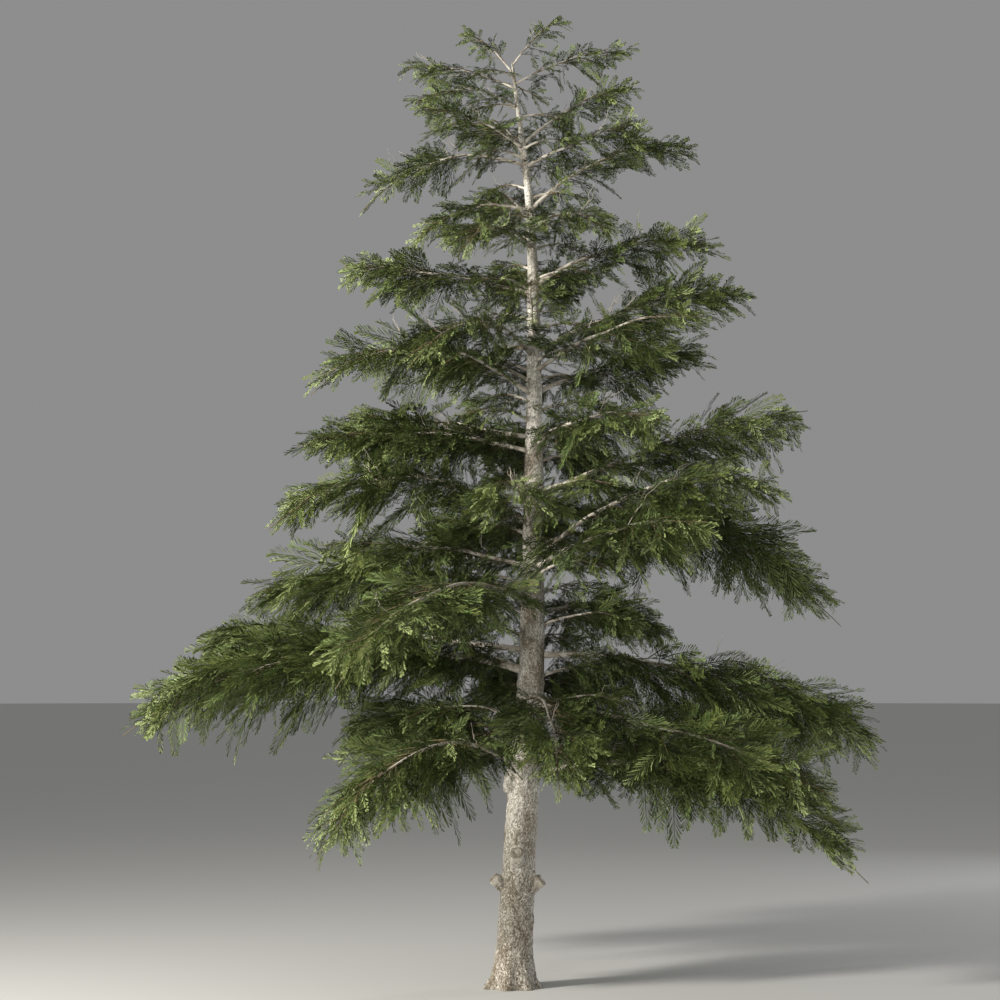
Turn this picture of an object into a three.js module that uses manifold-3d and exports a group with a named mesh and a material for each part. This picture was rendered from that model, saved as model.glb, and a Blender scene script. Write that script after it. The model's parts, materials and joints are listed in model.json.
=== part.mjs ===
// A conifer with flat, drooping sprays, about 8 m tall. Millimetres, +Z up.
// The origin is the middle of the flat cut at the ground. The viewer stands on the -Y side,
// with +X on the right, and the trunk, each main bough and each mass of foliage is one mesh.
import * as THREE from "three";
import { mergeVertices } from "three/addons/utils/BufferGeometryUtils.js";
import Module from "manifold-3d";

const wasm = await Module();
wasm.setup();

// Trunk
const TRUNK_HEIGHT = 7600;
const FOOT_RADIUS = 150; // just above the root flare
const TIP_RADIUS = 11;
const FLARE_WIDTH = 74; // added to the radius at the ground
const FLARE_HEIGHT = 105; // the flare fades out over about this height
const FLUTES = 7;
const FLUTE_DEPTH = 0.3; // as a share of the flare
const TRUNK_SIDES = 14;
const TRUNK_RINGS = 16;
// How far the trunk's middle stands to the right, at equal steps from the ground to the tip.
const LEAN = [0, 70, 155, 175, 182, 150, 0];

// Stubs where low limbs were cut off: height, angle round the trunk.
const STUBS = [
  { height: 775, angle: 186 },
  { height: 760, angle: 352 },
  { height: 1020, angle: 266 },
];
const STUB_RADIUS = 50;
const STUB_END = 0.8; // its cut end's radius as a share of that
const STUB_SIDES = 8;
const STUB_LENGTH = 85; // beyond the bark
const STUB_CLIMB = 0.75; // rise for each unit outward
const BURL = { height: 1640, angle: 205, radius: 82, out: 82, sides: 8, rings: 6 };

// Limbs, from the ground up: name, height on the trunk, angle, reach, rise, sag.
// The angle is 0 to the right and 90 away from the viewer. A limb sets out at rise over reach
// and has sunk by sag at its tip.
const LIMBS = [
  ["tier1_right", 1670, 342, 2660, 790, 1510],
  ["tier1_front_left", 1750, 214, 1890, 1150, 1810],
  ["tier1_back_left", 1950, 135, 2180, 800, 700],
  ["tier1_back_right", 1790, 55, 2030, 590, 930],
  ["tier1_front", 2340, 278, 1500, 100, 850],
  ["tier2_right", 2680, 8, 2980, 60, 780],
  ["tier2_front_right", 2280, 328, 2730, -150, 540],
  ["tier2_left", 2540, 176, 3370, 1100, 1550],
  ["tier2_back", 2400, 86, 2210, 500, 650],
  ["tier2_back_left", 2710, 156, 3100, 500, 420],
  ["tier3_front_left", 3090, 232, 2410, 840, 1510],
  ["tier3_back_left", 3210, 148, 2900, 620, 620],
  ["tier3_back_right", 2970, 42, 1510, 600, 770],
  ["tier4_left", 3400, 190, 1760, 450, 290],
  ["tier4_front_right", 3380, 308, 2100, 740, 450],
  ["tier4_right", 3440, 340, 2110, 1750, 1250],
  ["tier4_back_right", 3770, 28, 3070, 700, 1530],
  ["tier4_front", 3590, 258, 1400, 940, 540],
  ["tier4_front_left", 3740, 197, 2210, 1400, 1470],
  ["tier4_back", 3620, 105, 2200, 600, 550],
  ["tier5_left", 4340, 182, 1940, 550, 510],
  ["tier5_back_left", 4460, 150, 1860, 400, 110],
  ["tier5_right", 3950, 4, 2280, 1170, 420],
  ["tier5_front_right", 4400, 310, 1500, 550, 450],
  ["tier5_back", 4200, 85, 2000, 800, 400],
  ["tier6_front_left", 4800, 204, 1940, 1350, 1420],
  ["tier6_right", 5150, 6, 1820, 1130, 620],
  ["tier6_front_right", 5000, 318, 1750, 780, 690],
  ["tier6_back_right", 4820, 42, 1900, 770, 680],
  ["tier6_back_left", 4900, 125, 1500, 800, 530],
  ["tier7_left", 5650, 178, 1570, 350, 180],
  ["tier7_front_left", 5120, 228, 1510, 970, 1220],
  ["tier7_right", 5710, 352, 1540, 1030, 810],
  ["tier7_front", 5310, 268, 900, 600, 290],
  ["tier7_back", 5600, 88, 1200, 700, 230],
  ["tier8_left", 6340, 192, 960, 250, 540],
  ["tier8_right", 6350, 8, 1370, 1300, 820],
  ["tier8_front_left", 6030, 240, 1190, 450, 660],
  ["tier8_front_right", 6190, 312, 900, 390, 550],
  ["tier8_back", 6230, 105, 1000, 700, 260],
  ["tier9_left", 6720, 180, 1360, 560, 890],
  ["tier9_right", 6710, 340, 990, 470, 170],
  ["tier9_back_right", 6900, 26, 1040, 940, 360],
  ["tier9_front_left", 6870, 212, 980, 470, 270],
  ["tier9_back", 6810, 110, 800, 650, 180],
  ["tier10_left", 7370, 168, 940, 460, 240],
  ["tier10_right", 7400, 10, 960, 590, 280],
  ["tier10_front_left", 7210, 198, 900, 440, 490],
  ["tier11_left", 7490, 185, 370, 480, 130],
  ["tier11_right", 7560, 352, 400, 570, 130],
];
const SAG_POWER = 2.2; // a limb sags most near its tip
const SWAY = 0.03; // sideways bend as a share of the reach
const BARE = 0.28; // share of a limb that carries no foliage
const OWN_BOUGH_REACH = 2250; // a limb at least this long has its bare part as its own mesh
const LIMB_BASE_RADIUS = 7;
const LIMB_RADIUS_PER_REACH = 0.0056;
const LIMB_TIP_RADIUS = 7;
const COLLAR = 0.6; // a limb swells by this share where it leaves the trunk
const COLLAR_LENGTH = 110;
const BOUGH_SIDES = 6;
const BOUGH_RINGS = 5;
const STEM_RINGS = 4;
const LIMB_TO_TRUNK = 0.5; // a limb's greatest radius at its foot, as a share of the trunk's

// Sprays: toothed blades, each of which stands for a side twig with its leaves.
const TEETH = 3; // on each side of a blade
const SHORT_SPRAY = 430; // a shorter blade has one tooth fewer
const TOOTH_SWEEP = 0.95; // teeth lean forward by this share of their spacing
const NOTCH = 0.34; // width between teeth, as a share of the width across them
const SPRAY_WIDTH = 0.32; // half a blade's greatest width as a share of its length
const SPRAY_WIDEST = 0.42; // share of its length where it is widest
const SPRAY_TAPER = 3; // how fast it narrows either way from there
const SPRAY_THICKNESS = 0.03; // share of its length
const STALK_RADIUS = 3.5; // of a side spray, whose foot is sunk to the middle of its stem
const STALK_LENGTH = 45;
const TIP_SPRAY_START = 0.72; // share of the limb where the last spray begins
const STATION = 330; // length of stem for each side spray
const LEAST_STATIONS = 3;
const FIRST_STATION = 0.4; // share of a station's length before its spray
const LAST_STATION = 0.72; // share of the limb where the stations end
const SIDE_LENGTH = 230; // longest side spray on a limb of no reach
const SIDE_LENGTH_PER_REACH = 0.26;
const SIDE_TAPER = 0.42; // how much shorter the last side spray is than the first
const SIDE_ANGLE = 66; // degrees from the limb at the first spray
const SIDE_ANGLE_LOSS = 18; // less than that at the last
const ANGLE_SPREAD = 0.12; // chance share either way, here and in the next two
const LENGTH_SPREAD = 0.15;
const DROOP_SPREAD = 0.3;
const SIDE_SLOPE = 0.5; // share of the limb's slope that a side spray sets out with
const SIDE_LIFT = 0.2; // added to that slope
const SIDE_ROLL = 60; // degrees by which a side spray may be turned about its length
const TIP_ROLL = 35; // degrees by which the last spray is turned
const SPRAY_DROOP = 0.6; // share of its length by which a side spray hangs
const FORK_LENGTH = 860; // a longer side spray carries one more on its outer side
const FORK_AT = 0.3; // share of the side spray where it leaves
const FORK_SHARE = 0.52;
const FORK_ANGLE = 38;
const SHORTER_TRIES = [1, 0.8, 0.62]; // a spray that would touch something is tried shorter
const LOWEST_TIP = 860; // foliage keeps this far above the ground

// Clearances
const GAP = 0.3; // between pieces that meet
const CLEAR = 4; // between masses that only pass each other

const SEED = 7342;
const MERGE_DISTANCE = 1e-3; // vertices this near are one
const TANGENT_STEP = 0.002; // share of a limb

const UP = new THREE.Vector3(0, 0, 1);
const radians = THREE.MathUtils.degToRad;
const random = seededRandom(SEED);

// A repeatable stream of numbers from 0 to 1.
function seededRandom(seed) {
  let state = seed;
  return () => {
    state = (state * 1664525 + 1013904223) % 4294967296;
    return state / 4294967296;
  };
}

// A number within the given share above or below 1.
function vary(share) {
  return 1 + share * (2 * random() - 1);
}

// A level direction at an angle in degrees.
function heading(angle) {
  return new THREE.Vector3(Math.cos(radians(angle)), Math.sin(radians(angle)), 0);
}

// Closed solid of a geometry, for joining and cutting.
function solidOf(geometry) {
  const bare = geometry.clone();
  bare.deleteAttribute("normal");
  bare.deleteAttribute("uv");
  const merged = mergeVertices(bare, MERGE_DISTANCE);
  return new wasm.Manifold(
    new wasm.Mesh({
      numProp: 3,
      vertProperties: merged.attributes.position.array,
      triVerts: new Uint32Array(merged.index.array),
    }),
  );
}

// The largest body of a solid: hollows that joining sealed are filled and loose scraps dropped.
function mainBody(solid) {
  const bodies = solid.decompose();
  return bodies.reduce((a, b) => (b.volume() > a.volume() ? b : a));
}

// A tube or, when pointed, a cone whose vertices are set by place(share, angle, radial):
// share runs 0 to 1 along it, angle goes round from its first corner, radial is 0 on its axis.
function tube(sides, rings, pointed, place) {
  const geometry = new THREE.CylinderGeometry(pointed ? 0 : 1, 1, 1, sides, rings);
  geometry.rotateX(Math.PI / 2);
  geometry.rotateZ(Math.PI / 2);
  const position = geometry.attributes.position;
  const vertex = new THREE.Vector3();
  for (let i = 0; i < position.count; i++) {
    vertex.fromBufferAttribute(position, i);
    const share = vertex.z + 0.5;
    const fullRadius = pointed ? 1 - share : 1;
    const radial = fullRadius > 1e-6 ? Math.hypot(vertex.x, vertex.y) / fullRadius : 0;
    const angle = Math.atan2(vertex.y, vertex.x);
    const placed = place(share, angle, radial);
    position.setXYZ(i, placed.x, placed.y, placed.z);
  }
  return solidOf(geometry);
}

// Point, direction, upper side and right-hand side of a curve at a share of its length.
function frameAt(curve, share, roll = 0) {
  const along = curve.getTangent(share);
  const right = along.clone().cross(UP).normalize().applyAxisAngle(along, radians(roll));
  const over = right.clone().cross(along);
  return { point: curve.getPoint(share), along, right, over };
}

// A round limb along part of a curve, with radius(share of the curve).
function limbSolid(curve, from, to, sides, rings, radius) {
  return tube(sides, rings, false, (share, angle, radial) => {
    const there = from + (to - from) * share;
    const { point, right, over } = frameAt(curve, there);
    const size = radial * radius(there);
    return point
      .addScaledVector(over, size * Math.cos(angle))
      .addScaledVector(right, size * Math.sin(angle));
  });
}

// A three-sided twig along a curve that ends in a toothed blade with a rib beneath.
// The twig has stalkRings sections of radius(share) from the share from to bladeStart.
function twigSolid({ curve, length, from, bladeStart, stalkRings, radius, roll }) {
  const bladeRings = 2 * (length < SHORT_SPRAY ? TEETH - 1 : TEETH);
  const rings = stalkRings + bladeRings;
  const sweep = (TOOTH_SWEEP * length) / bladeRings;
  return tube(3, rings, true, (share, angle, radial) => {
    const ring = Math.round(share * rings);
    const bladeRing = ring - stalkRings;
    const isStalk = bladeRing <= 0;
    const bladeShare = bladeRing / bladeRings;
    const there = isStalk
      ? from + ((bladeStart - from) * ring) / stalkRings
      : bladeStart + (1 - bladeStart) * bladeShare;
    const { point, along, right, over } = frameAt(curve, there, isStalk ? 0 : roll);
    if (isStalk) {
      const size = -radial * radius(there);
      return point
        .addScaledVector(over, size * Math.cos(angle))
        .addScaledVector(right, size * Math.sin(angle));
    }
    const isRib = Math.abs(angle) < 0.1;
    const side = -Math.sign(Math.sin(angle));
    const size = radial * length * (1 - SPRAY_TAPER * (bladeShare - SPRAY_WIDEST) ** 2);
    if (isRib) {
      return point.addScaledVector(over, -SPRAY_THICKNESS * size);
    }
    const isTooth = bladeRing % 2 === 1;
    return point
      .addScaledVector(right, SPRAY_WIDTH * size * side * (isTooth ? 1 : NOTCH))
      .addScaledVector(along, isTooth ? radial * sweep : 0);
  });
}

// Middle of the trunk at each height, leaning as the tree does.
const trunkAxis = new THREE.CatmullRomCurve3(
  LEAN.map((offset, i) => new THREE.Vector3(offset, 0, (TRUNK_HEIGHT * i) / (LEAN.length - 1))),
  false,
  "catmullrom",
);

// The trunk's radius at a height, without its flare.
function trunkRadius(height) {
  return FOOT_RADIUS + ((TIP_RADIUS - FOOT_RADIUS) * height) / TRUNK_HEIGHT;
}

// The line that a limb follows from the middle of the trunk to its tip.
class LimbCurve extends THREE.Curve {
  constructor([name, height, angle, reach, rise, sag]) {
    super();
    this.name = name;
    this.reach = reach;
    this.rise = rise;
    this.sag = sag;
    this.start = trunkAxis.getPoint(height / TRUNK_HEIGHT);
    this.out = heading(angle);
    this.sway = SWAY * reach * Math.sin(3 * radians(angle) + height / 1000);
    const thickest = LIMB_TO_TRUNK * trunkRadius(height);
    this.base = Math.min(LIMB_BASE_RADIUS + LIMB_RADIUS_PER_REACH * reach, thickest);
    this.hasBough = reach >= OWN_BOUGH_REACH;
    this.stemStart = this.hasBough ? BARE + GAP / reach : 0;
  }

  getPoint(share) {
    const up = this.rise * share - this.sag * Math.max(share, 0) ** SAG_POWER;
    return this.start
      .clone()
      .addScaledVector(this.out, this.reach * share)
      .addScaledVector(this.out.clone().cross(UP), this.sway * Math.sin(Math.PI * share))
      .addScaledVector(UP, up);
  }

  // Directions come from the points just before and after.
  getTangent(share) {
    const before = this.getPoint(share - TANGENT_STEP);
    return this.getPoint(share + TANGENT_STEP).sub(before).normalize();
  }

  // Middle of the stem, which is straight from one of its rings to the next.
  stemPoint(share) {
    const stretch = (TIP_SPRAY_START - this.stemStart) / STEM_RINGS;
    const ring = Math.floor((share - this.stemStart) / stretch);
    const before = this.stemStart + ring * stretch;
    const part = (share - before) / stretch;
    return this.getPoint(before).lerp(this.getPoint(before + stretch), part);
  }

  radius(share) {
    const plain = this.base + (LIMB_TIP_RADIUS - this.base) * share;
    return plain * (1 + COLLAR * Math.exp((-share * this.reach) / COLLAR_LENGTH));
  }
}

// Trunk with its root flare, stubs and burl, all grown by extra.
function trunkSolid(extra) {
  const shaft = tube(TRUNK_SIDES, TRUNK_RINGS, false, (share, angle, radial) => {
    const height = share ** 2; // rings lie closer together near the ground
    const z = height * TRUNK_HEIGHT;
    const flare = FLARE_WIDTH * Math.exp(-z / FLARE_HEIGHT);
    const fluted = flare * (1 + FLUTE_DEPTH * Math.cos(FLUTES * angle));
    const radius = trunkRadius(z) + fluted + extra;
    const out = new THREE.Vector3(Math.cos(angle), Math.sin(angle), 0);
    return trunkAxis.getPoint(height).addScaledVector(out, radial * radius);
  });
  const pieces = STUBS.map((stub) => stubSolid(stub, extra));
  const burl = new THREE.SphereGeometry(BURL.radius + extra, BURL.sides, BURL.rings);
  const burlMiddle = trunkAxis.getPoint(BURL.height / TRUNK_HEIGHT);
  burlMiddle.addScaledVector(heading(BURL.angle), BURL.out);
  burl.translate(burlMiddle.x, burlMiddle.y, burlMiddle.z);
  pieces.push(solidOf(burl));
  return mainBody(pieces.reduce((sum, piece) => sum.add(piece), shaft));
}

// A cut stub that climbs outward from the middle of the trunk.
function stubSolid({ height, angle }, extra) {
  const start = trunkAxis.getPoint(height / TRUNK_HEIGHT);
  const out = heading(angle).addScaledVector(UP, STUB_CLIMB).normalize();
  const length = FOOT_RADIUS / out.dot(heading(angle)) + STUB_LENGTH;
  const end = start.clone().addScaledVector(out, length);
  const line = new THREE.LineCurve3(start, end);
  const radius = (share) => STUB_RADIUS * (share > 0.99 ? STUB_END : 1) + extra;
  return limbSolid(line, 0, 1, STUB_SIDES, 3, radius);
}

// A curve that sets out in a direction and hangs lower toward its end.
function hangingCurve(start, direction, length, droop) {
  const middle = start.clone().addScaledVector(direction, length / 2);
  const end = start.clone().addScaledVector(direction, length).addScaledVector(UP, -droop * length);
  return new THREE.QuadraticBezierCurve3(start, middle, end);
}

// A direction turned sideways about the vertical by an angle in degrees.
function turned(direction, angle) {
  return direction.clone().applyAxisAngle(UP, radians(angle));
}

// The direction in which a side spray leaves a limb that runs the given way.
function sideDirection(along, angle) {
  const level = along.clone().setZ(SIDE_SLOPE * along.z + SIDE_LIFT);
  return turned(level.normalize(), angle);
}

// A toothed blade on a short stalk along the whole of a curve.
function bladeSolid(curve, length, roll) {
  const radius = () => STALK_RADIUS;
  const bladeStart = STALK_LENGTH / length;
  return twigSolid({ curve, length, from: 0, bladeStart, stalkRings: 1, radius, roll });
}

// One side spray from a stem, with its fork when it is long.
function sideSpray({ start, direction, side, length, droop, roll }) {
  const curve = hangingCurve(start, direction, length, droop);
  const blade = bladeSolid(curve, length, roll);
  if (length < FORK_LENGTH) {
    return blade;
  }
  const forkDirection = turned(curve.getTangent(FORK_AT), side * FORK_ANGLE);
  const forkLength = FORK_SHARE * length;
  const forkCurve = hangingCurve(curve.getPoint(FORK_AT), forkDirection, forkLength, droop);
  return blade.add(bladeSolid(forkCurve, forkLength, roll));
}

function boxesMeet(a, b) {
  const first = a.boundingBox();
  const second = b.boundingBox();
  return [0, 1, 2].every(
    (i) => first.min[i] - CLEAR < second.max[i] && second.min[i] - CLEAR < first.max[i],
  );
}

// Whether a spray stays above the ground and clear of everything given.
function fits(spray, others) {
  if (spray.boundingBox().min[2] < LOWEST_TIP) {
    return false;
  }
  return others.every((other) => !boxesMeet(spray, other) || spray.minGap(other, CLEAR) >= CLEAR);
}

// Places for side sprays along a limb, alternately left and right.
function sideStations(limb) {
  const count = Math.max(LEAST_STATIONS, Math.round(((1 - BARE) * limb.reach) / STATION));
  return Array.from({ length: count }, (_, i) => {
    const along = (i + FIRST_STATION) / count;
    return {
      share: BARE + along * (LAST_STATION - BARE),
      along,
      side: i % 2 === 0 ? 1 : -1,
    };
  });
}

const trunk = trunkSolid(0);
const trunkSpace = trunkSolid(GAP);
const limbs = LIMBS.map((row) => new LimbCurve(row));

// First the limbs: bare boughs, and stems that each end in a spray.
const boughs = new Map();
const masses = new Map();
for (const limb of limbs) {
  const radius = (share) => limb.radius(share);
  if (limb.hasBough) {
    const bough = limbSolid(limb, 0, BARE, BOUGH_SIDES, BOUGH_RINGS, radius);
    boughs.set(limb, mainBody(bough.subtract(trunkSpace)));
  }
  const stem = twigSolid({
    curve: limb,
    length: (1 - TIP_SPRAY_START) * limb.reach,
    from: limb.stemStart,
    bladeStart: TIP_SPRAY_START,
    stalkRings: STEM_RINGS,
    radius,
    roll: TIP_ROLL * Math.sign(limb.sway),
  });
  masses.set(limb, mainBody(limb.hasBough ? stem : stem.subtract(trunkSpace)));
}

// Then the side sprays, each kept only where it is clear of all that isn't its own mass.
for (const limb of limbs) {
  const others = [trunk, ...boughs.values()];
  for (const [owner, mass] of masses) {
    if (owner !== limb) {
      others.push(mass);
    }
  }
  let mass = masses.get(limb);
  const longest = SIDE_LENGTH + SIDE_LENGTH_PER_REACH * limb.reach;
  for (const { share, along, side } of sideStations(limb)) {
    const start = limb.stemPoint(share);
    const angle = side * (SIDE_ANGLE - SIDE_ANGLE_LOSS * along) * vary(ANGLE_SPREAD);
    const direction = sideDirection(limb.getTangent(share), angle);
    const full = longest * (1 - SIDE_TAPER * along) * vary(LENGTH_SPREAD);
    const droop = SPRAY_DROOP * vary(DROOP_SPREAD);
    const roll = SIDE_ROLL * (2 * random() - 1);
    for (const shorter of SHORTER_TRIES) {
      const spray = sideSpray({ start, direction, side, length: shorter * full, droop, roll });
      if (fits(spray, others)) {
        mass = mass.add(spray);
        break;
      }
    }
  }
  masses.set(limb, mainBody(mass));
}

// Finishes
const bark = new THREE.MeshStandardMaterial({ color: 0xb5ab99, roughness: 0.9, metalness: 0 });
const foliage = new THREE.MeshStandardMaterial({ color: 0x4a6334, roughness: 0.8, metalness: 0 });

const tree = new THREE.Group();
tree.name = "conifer_tree";

function addMesh(name, solid, material) {
  const { vertProperties, triVerts } = solid.getMesh();
  const geometry = new THREE.BufferGeometry();
  geometry.setAttribute("position", new THREE.BufferAttribute(vertProperties, 3));
  geometry.setIndex(new THREE.BufferAttribute(triVerts, 1));
  geometry.computeVertexNormals();
  const mesh = new THREE.Mesh(geometry, material);
  mesh.name = name;
  tree.add(mesh);
}

addMesh("trunk", trunk, bark);
boughs.forEach((solid, limb) => addMesh(`${limb.name}_bough`, solid, bark));
masses.forEach((solid, limb) => addMesh(`${limb.name}_foliage`, solid, foliage));

export default tree;
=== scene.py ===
"""A conifer 8 m tall: bark with relief, and flat drooping sprays of scale leaves on its limbs.

Metres, +Z up. The viewer stands on the -Y side. An angle of 0 degrees points to the right and one
of 90 away from the viewer.
"""

import json
import logging
import math
from collections.abc import Sequence
from dataclasses import dataclass, field
from enum import Enum
from typing import Any

import bpy
import numpy as np
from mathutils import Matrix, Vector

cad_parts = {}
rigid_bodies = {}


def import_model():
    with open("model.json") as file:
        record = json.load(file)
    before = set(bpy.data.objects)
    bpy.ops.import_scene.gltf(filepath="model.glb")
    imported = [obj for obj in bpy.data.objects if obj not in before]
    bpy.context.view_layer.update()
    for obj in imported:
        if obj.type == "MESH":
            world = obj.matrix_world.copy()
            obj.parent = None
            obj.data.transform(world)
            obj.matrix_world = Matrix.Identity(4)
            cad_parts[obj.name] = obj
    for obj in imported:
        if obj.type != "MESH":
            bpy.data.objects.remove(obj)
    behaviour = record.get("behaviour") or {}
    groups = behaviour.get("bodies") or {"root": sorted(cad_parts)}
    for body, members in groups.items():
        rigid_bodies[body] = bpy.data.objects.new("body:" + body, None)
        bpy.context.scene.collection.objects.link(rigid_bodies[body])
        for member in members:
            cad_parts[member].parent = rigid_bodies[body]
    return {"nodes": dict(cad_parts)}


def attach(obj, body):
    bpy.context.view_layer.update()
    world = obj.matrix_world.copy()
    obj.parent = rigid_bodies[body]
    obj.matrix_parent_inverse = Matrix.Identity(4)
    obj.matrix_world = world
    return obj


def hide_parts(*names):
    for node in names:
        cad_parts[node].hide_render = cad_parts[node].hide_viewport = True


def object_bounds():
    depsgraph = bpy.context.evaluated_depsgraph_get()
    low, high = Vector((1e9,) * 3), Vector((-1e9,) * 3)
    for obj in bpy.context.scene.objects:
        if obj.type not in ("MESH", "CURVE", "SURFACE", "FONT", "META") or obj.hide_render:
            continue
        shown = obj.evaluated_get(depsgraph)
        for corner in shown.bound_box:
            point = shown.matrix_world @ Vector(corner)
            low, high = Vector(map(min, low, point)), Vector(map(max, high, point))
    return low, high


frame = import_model()
CAD_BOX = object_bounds()

Array = np.ndarray
Piece = bpy.types.Object
Socket = bpy.types.NodeSocket
# A range, from one value to another.
Span = tuple[float, float]

BODY = "root"
SEED = 7342
UP = np.array((0.0, 0.0, 1.0))
log = logging.getLogger("conifer")


# Colours and shader nodes


def linear(colour: str) -> tuple[float, float, float, float]:
    """Turns an sRGB hex colour into linear values.

    Args:
        colour: six hex digits after a hash sign.

    Returns:
        Red, green, blue and an alpha of 1.
    """
    shares = [int(colour[i : i + 2], 16) / 255 for i in (1, 3, 5)]
    bent = [s / 12.92 if s <= 0.04045 else ((s + 0.055) / 1.055) ** 2.4 for s in shares]
    return (bent[0], bent[1], bent[2], 1.0)


def per_metre(size_mm: float) -> float:
    """The texture scale whose features are about this many millimetres across."""
    return 1000.0 / size_mm


def add_node(
    tree: bpy.types.NodeTree,
    kind: str,
    settings: dict[str | int, Any] | None = None,
    links: dict[str | int, Socket] | None = None,
) -> bpy.types.Node:
    """Adds a shader node with its settings and links.

    Args:
        tree: the material's nodes.
        kind: the node's type.
        settings: values by property, by input, or under "stops" for a colour ramp.
        links: the socket that feeds each input.

    Returns:
        The new node.
    """
    node = tree.nodes.new(kind)
    for name, value in (settings or {}).items():
        if name == "stops":
            for i, (place, colour) in enumerate(value):
                elements = node.color_ramp.elements
                stop = elements[i] if i < len(elements) else elements.new(place)
                stop.position = place
                stop.color = linear(colour)
        elif isinstance(name, str) and hasattr(node, name):
            setattr(node, name, value)
        else:
            node.inputs[name].default_value = value
    for name, socket in (links or {}).items():
        tree.links.new(socket, node.inputs[name])
    return node


def new_material(
    name: str, roughness: float, specular: float
) -> tuple[bpy.types.Material, bpy.types.Node]:
    """Makes a material.

    Args:
        name: the material's name.
        roughness: how far its shine is spread.
        specular: how strong its shine is.

    Returns:
        The material and its shader.
    """
    material = bpy.data.materials.new(name)
    material.use_nodes = True
    shader = material.node_tree.nodes["Principled BSDF"]
    shader.inputs["Roughness"].default_value = roughness
    shader.inputs["Specular IOR Level"].default_value = specular
    return material, shader


class MixSocket(Enum):
    """Places of a colour Mix node's sockets, whose names repeat."""

    FIRST = 6
    SECOND = 7
    RESULT = 2


# Finishes


@dataclass(frozen=True)
class TrunkBark:
    """Flaking conifer bark, weathered and dry.

    It gives the eye crinkled pale flakes with lighter edges over brown gaps, an older brown near
    the ground, dark specks round the feet of limbs, and no shine.
    """

    pale: str = "#ece9e0"
    grey: str = "#d9d4c8"
    brown: str = "#9c9180"
    crevice: str = "#5a5143"
    edge: str = "#f2efe7"
    mark: str = "#4b4b36"
    old: str = "#6f6555"
    cut_wood: str = "#d6cfc0"
    # Bark at a stub end's edge, made darker as a painted shadow round the end.
    rim: str = "#5d5345"
    # Sizes of patches, flakes and specks, how much each pattern is bent, and its detail.
    patch_mm: float = 160.0
    flake_mm: float = 24.0
    speck_mm: float = 14.0
    patch_bend: float = 0.3
    flake_bend: float = 3.0
    speck_bend: float = 0.6
    detail: float = 5.0
    # Patches and flakes are drawn out along the trunk.
    stretch: float = 0.55
    # Values of the patches at which they are brown, grey and pale.
    patch_stops: tuple[float, ...] = (0.36, 0.48, 0.6)
    # Two values of a pattern, and how much of a colour shows at each, with a blend between them.
    gaps: tuple[Span, Span] = ((0.42, 0.56), (0.95, 0.0))
    edges: tuple[Span, Span] = ((0.57, 0.66), (0.0, 0.6))
    specks: tuple[Span, Span] = ((0.44, 0.6), (0.0, 0.8))
    # Depth of the gaps and share of old bark, at the ground and at the height where bark is smooth.
    smooth_height: float = 2.6
    depth: Span = (1.0, 0.75)
    age: Span = (0.65, 0.0)
    relief: float = 0.8
    relief_height: float = 0.006
    roughness: float = 0.88
    specular: float = 0.25

    def material(self) -> bpy.types.Material:
        """Builds the shader from the ground colour up to the marks round the limbs.

        Returns:
            The material.
        """
        material, shader = new_material("Conifer_trunk_bark", self.roughness, self.specular)
        tree = material.node_tree
        place = add_node(tree, "ShaderNodeTexCoord").outputs["Object"]
        lengthwise = add_node(
            tree, "ShaderNodeMapping", {"Scale": (1, 1, self.stretch)}, {"Vector": place}
        ).outputs["Vector"]
        patches, flakes, specks = (
            add_node(
                tree,
                "ShaderNodeTexNoise",
                {"Scale": per_metre(size), "Detail": self.detail, "Distortion": bend},
                {"Vector": vector},
            ).outputs["Fac"]
            for size, bend, vector in (
                (self.patch_mm, self.patch_bend, lengthwise),
                (self.flake_mm, self.flake_bend, lengthwise),
                (self.speck_mm, self.speck_bend, place),
            )
        )
        colour = add_node(
            tree,
            "ShaderNodeValToRGB",
            {"stops": tuple(zip(self.patch_stops, (self.brown, self.grey, self.pale)))},
            {"Fac": patches},
        ).outputs["Color"]
        height = add_node(tree, "ShaderNodeSeparateXYZ", links={"Vector": place}).outputs["Z"]
        climb = (0.0, self.smooth_height)
        depth, age, gaps, edges, specked = (
            add_node(
                tree,
                "ShaderNodeMapRange",
                {"From Min": start, "From Max": end, "To Min": low, "To Max": high},
                {"Value": value},
            ).outputs["Result"]
            for value, ((start, end), (low, high)) in (
                (height, (climb, self.depth)),
                (height, (climb, self.age)),
                (flakes, self.gaps),
                (flakes, self.edges),
                (specks, self.specks),
            )
        )
        near_limb, cut, rim = (
            add_node(tree, "ShaderNodeAttribute", {"attribute_name": name}).outputs["Fac"]
            for name in (Trunk.MARK_ATTRIBUTE, Trunk.CUT_ATTRIBUTE, Trunk.RIM_ATTRIBUTE)
        )
        deep_gaps, marks = (
            add_node(
                tree, "ShaderNodeMath", {"operation": "MULTIPLY"}, {0: first, 1: second}
            ).outputs["Value"]
            for first, second in ((gaps, depth), (near_limb, specked))
        )
        for share, over in (
            (age, self.old),
            (deep_gaps, self.crevice),
            (edges, self.edge),
            (marks, self.mark),
            (cut, self.cut_wood),
            # The stub ends' dark edge: partly their bark, partly painted shadow round the end.
            (rim, self.rim),
        ):
            colour = add_node(
                tree,
                "ShaderNodeMix",
                {"data_type": "RGBA", MixSocket.SECOND.value: linear(over)},
                {"Factor": share, MixSocket.FIRST.value: colour},
            ).outputs[MixSocket.RESULT.value]
        normal = add_node(
            tree,
            "ShaderNodeBump",
            {"Strength": self.relief, "Distance": self.relief_height},
            {"Height": flakes},
        ).outputs["Normal"]
        tree.links.new(colour, shader.inputs["Base Color"])
        tree.links.new(normal, shader.inputs["Normal"])
        return material


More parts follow.
